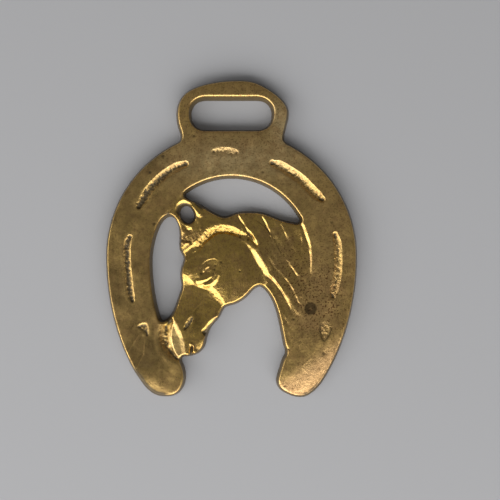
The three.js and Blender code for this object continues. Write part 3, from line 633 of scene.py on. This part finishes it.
def relief(places):
    """The front's height over the back, and how rough the mould's skin is there, from 0 to 1.
    It starts from the flat plate. The nail marks are sunk into it, each part of the head is
    raised or sunk over its own patch, and lines of steps, ridges and troughs are added."""
    x, y = places.T
    z = PLATE + uneven(places, PLATE_LAYERS)
    z += (x < 0) * LEFT_RISE * np.clip(LEFT_RISE_START - y, 0, LEFT_RISE_LENGTH)
    past = wear(places, *RIGHT_WEAR)
    z -= RIGHT_WEAR_DEPTH * past**2 / (1 + RIGHT_WEAR_EASING * past)
    z -= LEFT_WEAR_DEPTH * wear(places, *LEFT_WEAR) ** 2
    rough = np.zeros(len(places))
    for line, width, depth in NAIL_MARKS:
        sunk = gouged(places, line, width / 2 + NAIL_MARK_SPARE)
        z -= depth * sunk
        rough = np.maximum(rough, np.minimum(1, NAIL_MARK_ROUGHNESS * sunk))
    for edge, depth in NAIL_HOLLOWS:
        sunk = cover(places, edge, NAIL_HOLLOW_SLOPE)
        z -= depth * sunk
        rough = np.maximum(rough, sunk)

    sunk = cover(places, OPENING, blended(*SUNK_SLOPES, eased(y, *SUNK_SLOPES_FROM)))
    sunk *= np.where(x > 0, SUNK_DEPTHS[1], SUNK_DEPTHS[0]) * eased(y, *SUNK_FROM)
    z -= sunk * (1 - spot(places, *EAR_FOOT))
    z -= NECK_DEPTH * cover(places, NECK_FRONT, NECK_SLOPE) * eased(y, *NECK_Y)
    head = cover(places, OPENING, HEAD_SLOPE)
    strands = np.stack([places @ np.array(STRANDS_ACROSS),
                        STRANDS_STRETCH * (places @ np.array(STRANDS_ALONG))], axis=1)
    z += head * eased(x, *STRANDS_FROM) * uneven(strands, [STRANDS_LAYER])

    hollow = cover(places, MUZZLE_HOLLOW, MUZZLE_HOLLOW_SLOPE)
    z = blended(z, PLATE - MUZZLE_HOLLOW_DEPTH, hollow)
    z = blended(z, PLATE - JAW_DEPTH, cover(places, JAW, JAW_SLOPE))

    past = past_muzzle_edge(places)
    front = (MUZZLE_STEEP_FALL * np.minimum(past, MUZZLE_STEEP_PART)
             + MUZZLE_FALL * np.maximum(past - MUZZLE_STEEP_PART, 0)) * (1 - eased(y, *MUZZLE_FRONT_Y))
    middle, size = MUZZLE_SLOPE_X
    by_lips = np.exp(-(((x - middle) / size) ** 2)) * (1 - eased(y, *MUZZLE_SLOPE_Y))
    slope = NOSE_SLOPE + MUZZLE_SLOPE_MORE * by_lips + spots(places, NOSE_SLOPE_MORE)
    muzzle = cover(places, NOSE, slope)
    z = blended(z, PLATE + NOSE_RISE * (1 - eased(y, *NOSE_RISE_Y)) - front, muzzle)

    fall = np.hypot(*((places - np.array(CHEEK_MIDDLE)) / CHEEK_REACH).T)
    by_brow = np.exp(-(((y - BROW_Y) / BROW_SIZE) ** 2)) * (x > BROW_LEFT) * (1 - eased(x, *BROW_X))
    cheek = CHEEK_EDGE + CHEEK_RISE * np.clip(1 - fall**CHEEK_POWER, 0, 1) + BROW_RISE * by_brow
    cheek += spots(places, [CHEEK_DIP])
    at_forehead = (1 - eased(x, *FOREHEAD_X)) * (1 - eased(y, *FOREHEAD_Y))
    slope = FACE_SLOPE + FOREHEAD_SLOPE_MORE * at_forehead + spots(places, FACE_SLOPE_MORE)
    z = blended(z, PLATE + cheek, cover(places, FACE, slope))
    z += band(places)

    broken = LOCK_SHARE + uneven(places, [LOCK_LAYER])
    for lock in LOCKS:
        z += broken * lock_edge(places, *lock)
    for step in STEPS:
        z += sloped(places, *step)
    for line, height, reach in RIDGES:
        z += height * trough(places, line, reach)
    z -= spots(places, SUNK_SPOTS)
    z += EYE_BALL * np.clip(1 - np.hypot(*(places - np.array(EYE)).T) / EYE_BALL_SIZE, 0, 1)
    nostril = cover(places, NOSTRIL, NOSTRIL_SLOPE)
    lean = (places - np.array(NOSTRIL_MIDDLE)) @ np.array(NOSTRIL_WAY)
    z -= nostril * (NOSTRIL_DEPTH + NOSTRIL_LEAN * lean)
    mouth = scooped(places, MOUTH, MOUTH_REACH)
    z -= MOUTH_DEPTH * mouth
    z += sloped(places, *CHIN) * (1 - eased(y, *CHIN_Y))
    forelock = cover(places, FORELOCK_PATCH, FORELOCK_SLOPE)
    z += FORELOCK_RISE * cover(places, FORELOCK_PATCH, FORELOCK_RISE_SLOPE)
    z += FORELOCK_LEAN * (y - FORELOCK_Y) * forelock

    distance, _, _ = nearest(places, EAR_EDGE, EAR_RIM_WIDTH)
    from_hole = places - EAR_HOLE
    at_tip = eased(from_hole @ np.array(EAR_TIP) / np.hypot(*from_hole.T), *EAR_TIP_FROM)
    z -= EAR_RIM_DEPTH * np.clip(1 - distance / EAR_RIM_WIDTH, 0, 1) * at_tip
    distance, along, _ = nearest(places, EAR_ROLL, EAR_ROLL_REACH)
    ends = eased(along, *EAR_ROLL_START) * (1 - eased(along, *EAR_ROLL_STOP))
    z += EAR_ROLL_HEIGHT * (1 - eased(distance, 0, EAR_ROLL_REACH)) * ends
    z -= EAR_HOLLOW_DEPTH * cover(places, EAR_HOLLOW, EAR_HOLLOW_SLOPE)
    for line in SCRATCHES:
        height = np.where(x > 0, SCRATCH_HEIGHTS[1], SCRATCH_HEIGHTS[0])
        z += height * trough(places, line, SCRATCH_REACH)

    skin = cover(places, SKIN, SKIN_SLOPE)
    bare_hollow = hollow * (1 - muzzle)
    rough = np.maximum.reduce([
        rough, bare_hollow, nostril, mouth, forelock,
        SKIN_ROUGHNESS * skin,
        EAR_ROUGHNESS * cover(places, EAR_BASE, EAR_BASE_SLOPE),
        BROW_ROUGHNESS * eased(by_brow, *BROW_ROUGH_FROM),
        STEP_ROUGHNESS * spot(places, *FACE_STEP) * eased(slope, *STEP_ROUGH_FROM)])
    z += rough * uneven(places, SKIN_LAYERS) * (1 + SKIN_COARSER * skin + HOLLOW_COARSER * bare_hollow)
    z += head * uneven(places, HEAD_LAYERS)
    return z, rough


# The mesh: rings carried along the outline from the back's edge up the drafted wall and over
# the rounded front edge, then triangles over the front and the back. Each ring has its share
# of the rim's width and of the front's height.
RIM_WIDTH = 1.0
RIM = [(0.30, 0.0), (0.08, 0.015), (0.0, 0.07), (0.10, 0.22), (0.20, 0.38), (0.31, 0.54),
       (0.42, 0.69), (0.52, 0.81), (0.61, 0.89), (0.70, 0.945), (0.82, 0.98), (1.0, 1.0)]

edge, following = rounded(*outline_of("horse_brass"), EDGE_PARTS)
preceding = before(following)
along = edge[following] - edge[preceding]
along /= np.hypot(*along.T)[:, None]
inward = np.stack([-along[:, 1], along[:, 0]], axis=1)

# The room at each point of the outline is the radius of the largest circle that touches it
# there and lies in the metal. The rim is a part of it at most.
ROOM_AHEAD = 0.05
ROOM_APART = 0.6
ROOM_SHARE = 0.62
apart = edge[None, :, :] - edge[:, None, :]
ahead = np.einsum("ijk,ik->ij", apart, inward)
square = (apart**2).sum(axis=2)
radius = square / (2 * np.maximum(ahead, ROOM_AHEAD))
room = np.where((ahead > ROOM_AHEAD) & (square > ROOM_APART**2), radius, FAR).min(axis=1)

# The rim is wider on the upper side of the slot, round the ear's hole towards its tip and on
# the left of the ear, and narrower behind the chin.
SLOT_LOW = (-11.8, 25)
SLOT_HIGH = (11.8, 37)
SLOT_RIM = 0.3
SLOT_RIM_FROM = (-0.3, 0.6)
EAR_HOLE_REACH = 3.2
EAR_RIM = 0.5
EAR_RIM_WAY = (-0.5, 0.87)
EAR_RIM_FROM = (0.0, 0.8)
CHIN_RIM = ((-4.6, -21.8), 2.4)
CHIN_RIM_LOSS = 0.55
BELOW_EAR_RIM = ((-14.2, 5.2), (1.5, 2.4), 0.6)
RIM_EASING = 0.05
EASING_ROUNDS = 12
SMOOTHING_ROUNDS = 6
in_slot = ((edge > SLOT_LOW) & (edge < SLOT_HIGH)).all(axis=1)
in_ear = np.hypot(*(edge - EAR_HOLE).T) < EAR_HOLE_REACH
width = RIM_WIDTH + SLOT_RIM * in_slot * eased(inward[:, 1], *SLOT_RIM_FROM)
width += EAR_RIM * in_ear * eased(inward @ np.array(EAR_RIM_WAY), *EAR_RIM_FROM)
width *= 1 - CHIN_RIM_LOSS * spot(edge, *CHIN_RIM)
width += spots(edge, [BELOW_EAR_RIM])
width = np.minimum(width, ROOM_SHARE * room)
for _ in range(EASING_ROUNDS):
    width = np.minimum(width, np.minimum(width[following], width[preceding]) + RIM_EASING)
for _ in range(SMOOTHING_ROUNDS):
    width = 0.5 * width + 0.25 * (width[following] + width[preceding])

rings = [edge + inward * (width * share)[:, None] for share, _ in RIM]
innermost = rings[-1]
ring_size = len(edge)


def lattice(step, box):
    """Points of a lattice of even triangles over a box."""
    low, high = box
    rows = np.arange(low[1], high[1], step * 0.75**0.5)
    columns = np.arange(low[0], high[0], step)
    across, up = np.meshgrid(columns, rows)
    across = across + step / 2 * (np.arange(len(rows)) % 2)[:, None]
    return np.stack([across, up], axis=-1).reshape(-1, 2)


def within(places, ring, gap):
    """The places that a set of closed lines goes round and that keep the gap from them."""
    kept = places[inside(places, ring, ring[following])]
    far = np.empty(len(kept))
    for first in range(0, len(kept), GROUP):
        off = kept[first:first + GROUP, None, :] - ring[None, :, :]
        far[first:first + GROUP] = (off**2).sum(axis=2).min(axis=1)
    return kept[far > gap**2]


CUT_TOLERANCE = 1e-7


def cut_triangles(ring, free):
    """Triangles over the metal between closed lines, through the free points inside them."""
    points = np.concatenate([ring, free])
    lines = np.stack([np.arange(ring_size), following], axis=1)
    _, _, faces, *_ = delaunay_2d_cdt(points.tolist(), lines.tolist(), [], 0, CUT_TOLERANCE, False)
    faces = np.array(faces)
    on_ring = (faces < ring_size).all(axis=1)
    keep = ~on_ring
    keep[on_ring] = inside(points[faces[on_ring]].mean(axis=1), ring, ring[following])
    return faces[keep]


FINE_STEP = 0.21
FINE_GAP = 0.14
PLAIN_STEP = 0.40
PLAIN_GAP = 0.2
BACK_STEP = 1.0
BACK_GAP = 0.4
# The fine lattice covers these patches and lines, and the given distance round them.
DETAIL_LINES = [
    (OPENING, 0.8), (MUZZLE_HOLLOW, 0.8), *[(mark[0], 1.7) for mark in NAIL_MARKS],
    *[(hollow[0], 0.8) for hollow in NAIL_HOLLOWS], *[(line, 0.5) for line in SCRATCHES]]
box = (edge.min(0), edge.max(0))
fine = lattice(FINE_STEP, box)
plain = lattice(PLAIN_STEP, box)
in_detail = []
for points in (fine, plain):
    marked = np.zeros(len(points), bool)
    for line, reach in DETAIL_LINES:
        distance, _, _ = nearest(points, line, reach)
        marked |= distance < reach
        if np.allclose(line[0], line[-1]):
            marked |= inside(points, line[:-1], line[1:])
    in_detail.append(marked)
free = np.concatenate([within(fine[in_detail[0]], innermost, FINE_GAP),
                       within(plain[~in_detail[1]], innermost, PLAIN_GAP)])
front_faces = cut_triangles(innermost, free)
on_front = np.concatenate([innermost, free])
height, rough = relief(on_front)

BACK_HEIGHT = 0.05
BACK_LAYER = (0.04, 3, 31)
back_ring = rings[0]
back_free = within(lattice(BACK_STEP, box), back_ring, BACK_GAP)
back_faces = cut_triangles(back_ring, back_free)

top = height[:ring_size]
wall = [np.column_stack([place, top * share]) for place, (_, share) in zip(rings[:-1], RIM[:-1])]
vertices = np.concatenate([
    *wall,
    np.column_stack([on_front, height]),
    np.column_stack([back_free, BACK_HEIGHT + uneven(back_free, [BACK_LAYER])]),
])
front_start = (len(RIM) - 1) * ring_size
back_start = front_start + len(on_front)
front_index = np.arange(len(on_front)) + front_start
back_index = np.concatenate([np.arange(ring_size), np.arange(len(back_free)) + back_start])
start = np.arange(ring_size)
quads = [np.column_stack([start, following, following + ring_size, start + ring_size]) + ring * ring_size
         for ring in range(len(RIM) - 1)]
faces = [*np.concatenate(quads).tolist(), *front_index[front_faces].tolist(),
         *back_index[back_faces][:, ::-1].tolist()]

mesh = bpy.data.meshes.new("casting")
mesh.from_pydata((vertices / MM_PER_METRE).tolist(), [], faces)
mesh.validate()
mesh.shade_smooth()

# How hollow each place is: how far it lies below the mean height round it, less along the band round the
# face. These values darken the colour, partly as grime and partly as painted shade in the hollows. Painted
# shade is spread with them over the left branch, most at its heel, and the nose is darkened too.
HOLLOW_ROUNDS = 14
HOLLOW_DEPTH = 0.14
BAND_LESS_DARK = 0.75
BAND_LESS_DARK_REACH = 2.4
BAND_LESS_DARK_FLAT = 0.5
LEFT_SIDE_X = (13, 18)
LEFT_SHADE = 0.50
LEFT_SHADE_LAYER = (0.14, 2.6, 41)
LEFT_HEEL_SHADE = ((-21.5, -30), (8, 8), 0.26)
NOSE_DARKENING = ((-9.5, -21.5), 4.5, 0.68)
NOSE_DARKENING_LEFT = -13
LEFT_SIDE_SLOPE = 0.5
links = np.concatenate([front_faces[:, [0, 1]], front_faces[:, [1, 2]], front_faces[:, [2, 0]]])
links = np.concatenate([links, links[:, ::-1]])
count = np.bincount(links[:, 0], minlength=len(on_front))
smooth = height.copy()
for _ in range(HOLLOW_ROUNDS):
    round_it = np.bincount(links[:, 0], smooth[links[:, 1]], len(on_front)) / count
    smooth = 0.5 * smooth + 0.5 * round_it
on_band = trough(on_front, FACE_LINE, BAND_LESS_DARK_REACH, BAND_LESS_DARK_FLAT)
hollow = np.clip((smooth - height) / HOLLOW_DEPTH, -1, 1) * (1 - BAND_LESS_DARK * on_band)
# Painted shade: the left branch, most at its heel, is darkened in the colour, but not the hollow beside
# the muzzle.
left_shade_share = eased(-on_front[:, 0], *LEFT_SIDE_X)
left_shade_share *= 1 - cover(on_front, MUZZLE_HOLLOW, LEFT_SIDE_SLOPE)
hollow += left_shade_share * (LEFT_SHADE + uneven(on_front, [LEFT_SHADE_LAYER])
                       + spots(on_front, [LEFT_HEEL_SHADE]))
# The nose is darkened in the colour too, right of a given x.
hollow += spots(on_front, [NOSE_DARKENING]) * (on_front[:, 0] > NOSE_DARKENING_LEFT)


WALL_TOP = (0.6, 1.0)


def attribute(name, front, wall_value, back_value):
    """A number for each point of the mesh: one for each on the front, one for the back, and one
    for the wall, whose upper rings go over to the front's numbers by an S."""
    values = np.full(len(vertices), back_value, np.float32)
    shares = eased(np.linspace(0, 1, len(RIM) - 1), *WALL_TOP)[:, None]
    values[:front_start] = (wall_value * (1 - shares) + shares * front[:ring_size]).reshape(-1)
    values[front_start:back_start] = front
    layer = mesh.attributes.new(name, "FLOAT", "POINT")
    layer.data.foreach_set("value", values)


# Where the finish differs, with painted light and shade among it: polished on the head, less towards the
# right branch; brown specks; coppery wear; a round stain with a painted highlight in its middle, and
# painted shade in the pits, the eye's corners and the right heel's nail hollow; and a paler, duller muzzle
# front, toe and hanger, partly painted light. The spots are middle, size and strength.
POLISHED_LESS = 0.85
POLISHED_WAY = (1, -0.5)
POLISHED_TO = (19, 27)
SPECKLED = 0.3
SPECKLED_SPOTS = [
    ((22.5, -16), (6.5, 9), 1.0), ((13.6, -38.6), (2.6, 1.5), 1.3), ((27, 8), (5, 14), 0.25),
    ((14, -7), (6, 9), 0.5)]
SPECKLED_EAR = 0.5
SPECKLED_EAR_SLOPE = 2.0
SPECKLED_TOP = 0.22
SPECKLED_TOP_Y = (14, 24)
WORN_FROM = (0.5, 5.0)
STAIN = np.array([20.4, -18.0])
STAIN_AND_GLINT_RINGS = [(0.8, (1.45, 1.8)), (-0.4, (0.2, 0.5))]
SHADED_HOLLOW = NAIL_HOLLOWS[1][0]
SHADED_HOLLOW_EDGE = 0.6
SHADED_HOLLOW_FLOOR = 0.25
SHADED_HOLLOW_SLOPE = 0.4
PIT_SHADE_SIZE = 0.30
PIT_SHADE = 0.9
PALE_MUZZLE = 0.4
PALE_MUZZLE_SLOPE = 0.6
PALE_MUZZLE_Y = (-22, -19.5)
LIT_SPOTS = [((1, 20), (19, 5.5), 0.7), ((13, 30), (3, 6), 1.0), ((11.5, -4), (4.5, 6), 0.2)]
# The walls take a high hollow value, so that they are painted dark as painted shade.
WALL_SHADE, BACK_HOLLOW = 0.95, 0.3
WALL_ROUGH, BACK_ROUGH = 0.25, 0.5

attribute("hollow", hollow, WALL_SHADE, BACK_HOLLOW)
attribute("rough", rough, WALL_ROUGH, BACK_ROUGH)
to_right = eased(on_front @ np.array(POLISHED_WAY), *POLISHED_TO)
polished = cover(on_front, OPENING, HEAD_SLOPE) * (1 - POLISHED_LESS * to_right)
attribute("polished", polished, 0.0, 0.0)
speckled = (SPECKLED + spots(on_front, SPECKLED_SPOTS)
            + SPECKLED_EAR * cover(on_front, EAR_BASE, SPECKLED_EAR_SLOPE)
            + SPECKLED_TOP * eased(on_front[:, 1], *SPECKLED_TOP_Y))
attribute("speckled", np.clip(speckled, 0, 1), SPECKLED, SPECKLED)
attribute("worn", eased(wear(on_front, *RIGHT_WEAR), *WORN_FROM), 0.0, 0.0)
# The round stain is dark, with a lighter middle painted as its highlight. Painted shade darkens the edge
# and floor of the right heel's nail hollow, the pits and the eye's corners.
from_stain = np.hypot(*(on_front - STAIN).T)
stain_shade_and_glint = sum(strength * (1 - eased(from_stain, *fade)) for strength, fade in STAIN_AND_GLINT_RINGS)
stain_shade_and_glint += SHADED_HOLLOW_EDGE * trough(on_front, SHADED_HOLLOW, SHADED_HOLLOW_SLOPE)
stain_shade_and_glint += SHADED_HOLLOW_FLOOR * cover(on_front, SHADED_HOLLOW, SHADED_HOLLOW_SLOPE)
stain_shade_and_glint += spots(on_front, [(place, PIT_SHADE_SIZE, PIT_SHADE) for place in PITS + EYE_DARKS])
attribute("stain_shade_and_glint", np.clip(stain_shade_and_glint, 0, 1), 0.0, 0.0)
# Partly a duller finish and partly painted light: the colour is made paler on the muzzle front, the toe,
# the right of the hanger and the right of the mane, and the roughness goes up there.
pale_and_lit = PALE_MUZZLE * cover(on_front, NOSE, PALE_MUZZLE_SLOPE) * (past_muzzle_edge(on_front) > 0)
pale_and_lit *= 1 - eased(on_front[:, 1], *PALE_MUZZLE_Y)
pale_and_lit += spots(on_front, LIT_SPOTS)
attribute("pale_and_lit", np.clip(pale_and_lit, 0, 1), 0.0, 0.0)


def shader(material):
    """A material's surface shader, a function that adds a node with the given settings, and
    one that joins an output to an input."""
    material.use_nodes = True
    tree = material.node_tree
    surface = tree.nodes["Principled BSDF"]

    def add(kind, inputs=(), **settings):
        """A new node with the given settings, and with values for its inputs, by name."""
        node = tree.nodes.new(kind)
        for name, value in settings.items():
            setattr(node, name, value)
        for name, value in inputs:
            node.inputs[name].default_value = value
        return node

    def join(output, target):
        """A link from an output to an input."""
        tree.links.new(output, target)

    return surface, add, join


brass = bpy.data.materials.new("yellow_brass")
surface, add, join = shader(brass)
surface.inputs["Metallic"].default_value = 1.0
where = add("ShaderNodeTexCoord").outputs["Object"]


def noise(scale, detail=3.0, roughness=0.55, stretch=None, turn=0.0):
    """Smooth random values round 0.5 over the object, finer as the scale goes up."""
    node = add("ShaderNodeTexNoise",
               [("Scale", scale), ("Detail", detail), ("Roughness", roughness)])
    source = where
    if stretch:
        mapping = add("ShaderNodeMapping", [("Scale", stretch), ("Rotation", (0, 0, turn))])
        join(where, mapping.inputs["Vector"])
        source = mapping.outputs["Vector"]
    join(source, node.inputs["Vector"])
    return node.outputs["Fac"]


def ranged(value, low, high, to_low=0.0, to_high=1.0):
    """A value's range from low to high carried over to another one, and held at its ends."""
    node = add("ShaderNodeMapRange", [("From Min", low), ("From Max", high),
                                      ("To Min", to_low), ("To Max", to_high)])
    join(value, node.inputs["Value"])
    return node.outputs["Result"]


def mixed(share, first, second):
    """One colour going over to another by a share."""
    node = add("ShaderNodeMix", data_type="RGBA")
    join(share, node.inputs["Factor"])
    sockets = [s for s in node.inputs if s.type == "RGBA"]
    for colour, socket in zip((first, second), sockets):
        if isinstance(colour, tuple):
            socket.default_value = (*colour, 1)
        else:
            join(colour, socket)
    return [s for s in node.outputs if s.type == "RGBA"][0]


def sum_of(*values):
    """The sum of some values."""
    total = values[0]
    for value in values[1:]:
        node = add("ShaderNodeMath", operation="ADD")
        join(total, node.inputs[0])
        join(value, node.inputs[1])
        total = node.outputs[0]
    return total


def pattern(grain, span):
    """Noise of the given scale, detail and roughness, with a span of its values carried over
    to shares."""
    return ranged(noise(*grain), *span)


def read(name):
    """One of the mesh's attributes."""
    return add("ShaderNodeAttribute", attribute_name=name).outputs["Fac"]


GOLD = (0.78, 0.53, 0.17)
OLIVE = (0.66, 0.45, 0.155)
TARNISH = (0.46, 0.28, 0.11)
POLISHED_GOLD = (0.76, 0.51, 0.125)
COPPERY = (0.86, 0.54, 0.24)
PALE_LIT_GOLD = (0.84, 0.66, 0.33)
RUSTY_GOLD = (0.66, 0.38, 0.18)
BROWN_SPECK = (0.23, 0.11, 0.04)
DARK_FLECK = (0.20, 0.13, 0.06)
DARK_STAIN_AND_SHADE = (0.05, 0.035, 0.02)
DIRT_AND_SHADE = (0.040, 0.030, 0.015)

# Patterns of the finish: the scale, detail and roughness of each one's noise, and its span.
# A span gives two values and the shares that they are carried over to, 0 and 1 if left out.
GOLD_PATCHES = ((90, 4), (0.38, 0.62))
TARNISHED = [((210, 6, 0.7), (0.50, 0.66, 0, 0.6)), ((900, 5, 0.7), (0.46, 0.62, 0, 0.5))]
BROWN_SPECKS = ((2300, 2, 0.5), (0.56, 0.63))
DARK_FLECKS = ((1900, 2, 0.5), (0.70, 0.76, 0, 0.7))
STROKES_STRETCH = (2600, 160, 1)
STROKES_TURN = 0.35
TARNISHED_STROKES = (0.45, 0.75, 0, 0.32)
RUSTY_WHERE_SPECKLED = (0, 1, 0, 0.3)
GRIME_AND_SHADE_WHERE_HOLLOW = (0.35, 1.0, 0, 0.9)
METAL_UNDER_GRIME_AND_SHADE = (0.45, 0.9, 1, 0.4)
ROUGHNESS = ((300, 5, 0.7), (0.3, 0.7, 0.25, 0.39))
SKIN_DULLER = (0, 1, 0, 0.10)
POLISHED_BRIGHTER = (0, 1, 0, -0.06)
STROKES_DULLER = (0.35, 0.65, -0.02, 0.04)
PALE_DULLER = (0, 1, 0, 0.09)

# The colour from the metal outwards: olive and golden patches, then how each place is finished, with
# painted light on the pale places, tarnish, brown specks and dark flecks, grime and painted shade in the
# hollows, on the walls and over the left branch, and stains with painted shade and a painted highlight.
skin_share, polished = read("rough"), read("polished")
speckled, pale_and_lit = read("speckled"), read("pale_and_lit")
strokes = noise(1, 3, stretch=STROKES_STRETCH, turn=STROKES_TURN)
colour = mixed(pattern(*GOLD_PATCHES), OLIVE, GOLD)
colour = mixed(polished, colour, POLISHED_GOLD)
colour = mixed(read("worn"), colour, COPPERY)
colour = mixed(pale_and_lit, colour, PALE_LIT_GOLD)
colour = mixed(ranged(strokes, *TARNISHED_STROKES), colour, TARNISH)
for layer in TARNISHED:
    colour = mixed(pattern(*layer), colour, TARNISH)
colour = mixed(ranged(speckled, *RUSTY_WHERE_SPECKLED), colour, RUSTY_GOLD)
specks = add("ShaderNodeMath", operation="MULTIPLY")
join(pattern(*BROWN_SPECKS), specks.inputs[0])
join(speckled, specks.inputs[1])
colour = mixed(specks.outputs[0], colour, BROWN_SPECK)
colour = mixed(pattern(*DARK_FLECKS), colour, DARK_FLECK)
# Grime and painted shade: the colour goes dark and less metallic where the hollow values are high.
grime_and_shade = ranged(read("hollow"), *GRIME_AND_SHADE_WHERE_HOLLOW)
colour = mixed(grime_and_shade, colour, DIRT_AND_SHADE)
colour = mixed(read("stain_shade_and_glint"), colour, DARK_STAIN_AND_SHADE)
join(colour, surface.inputs["Base Color"])
join(ranged(grime_and_shade, *METAL_UNDER_GRIME_AND_SHADE), surface.inputs["Metallic"])
roughness = sum_of(pattern(*ROUGHNESS), ranged(skin_share, *SKIN_DULLER),
                   ranged(polished, *POLISHED_BRIGHTER), ranged(strokes, *STROKES_DULLER),
                   ranged(pale_and_lit, *PALE_DULLER))
join(roughness, surface.inputs["Roughness"])


def bumped(height_value, distance, normal=None):
    """The surface's direction turned by a pattern of heights of the given depth."""
    node = add("ShaderNodeBump", [("Distance", distance)])
    join(height_value, node.inputs["Height"])
    if normal:
        join(normal, node.inputs["Normal"])
    return node.outputs["Normal"]


# Fine unevenness of the surface, as depths in metres: the grain of the metal, the strokes of
# the polishing, and the sand's print where the mould's skin is left.
GRAIN = (700, 5, 0.6)
GRAIN_DEPTH = 0.00007
STROKE_DEPTH = 0.000007
SAND = (2800, 3, 0.6)
SAND_DEPTH = 0.0001
normal = bumped(noise(*GRAIN), GRAIN_DEPTH)
normal = bumped(strokes, STROKE_DEPTH, normal)
normal = bumped(noise(*SAND), SAND_DEPTH, normal)
join(skin_share, normal.node.inputs["Strength"])
join(normal, surface.inputs["Normal"])

casting = bpy.data.objects.new("casting", mesh)
mesh.materials.append(brass)
scene.collection.objects.link(casting)
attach(casting, "root")
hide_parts("horse_brass")

# The floor and the light: a plain pale table under a wide soft lamp that stands low beyond the
# heels, so that slopes on that side shine and flat faces stay dim, and a small one on the left.
FLOOR_HALF = 2.0
FLOOR_DROP = 0.0001
FLOOR_COLOUR = (0.44, 0.44, 0.45, 1)
FLOOR_ROUGHNESS = 0.8
ROOM_LIGHT = 0.155
floor_mesh = bpy.data.meshes.new("floor")
corners = [(-1, -1), (1, -1), (1, 1), (-1, 1)]
floor_mesh.from_pydata([(FLOOR_HALF * x, FLOOR_HALF * y, -FLOOR_DROP) for x, y in corners], [],
                       [(0, 1, 2, 3)])
floor = bpy.data.objects.new("floor", floor_mesh)
scene.collection.objects.link(floor)
floor_material = bpy.data.materials.new("pale_table")
surface, _, _ = shader(floor_material)
surface.inputs["Base Color"].default_value = FLOOR_COLOUR
surface.inputs["Roughness"].default_value = FLOOR_ROUGHNESS
floor_mesh.materials.append(floor_material)

world = bpy.data.worlds.new("room")
world.use_nodes = True
world.node_tree.nodes["Background"].inputs["Color"].default_value = (1, 1, 1, 1)
world.node_tree.nodes["Background"].inputs["Strength"].default_value = ROOM_LIGHT
scene.world = world


def soft_light(name, place, size, power):
    """A flat lamp of the given size that faces the brass: its axis runs from its place to the
    origin."""
    data = bpy.data.lights.new(name, "AREA")
    data.shape = "RECTANGLE"
    data.size, data.size_y = size
    data.energy = power
    lamp = bpy.data.objects.new(name, data)
    lamp.location = place
    lamp.rotation_mode = "QUATERNION"
    lamp.rotation_quaternion = (-Vector(place)).to_track_quat("-Z", "Y")
    scene.collection.objects.link(lamp)


soft_light("window", place=(-0.15, -0.90, 0.63), size=(3.3, 1.0), power=32.0)
soft_light("side_window", place=(-0.95, -0.10, 0.37), size=(0.7, 0.38), power=2.3)
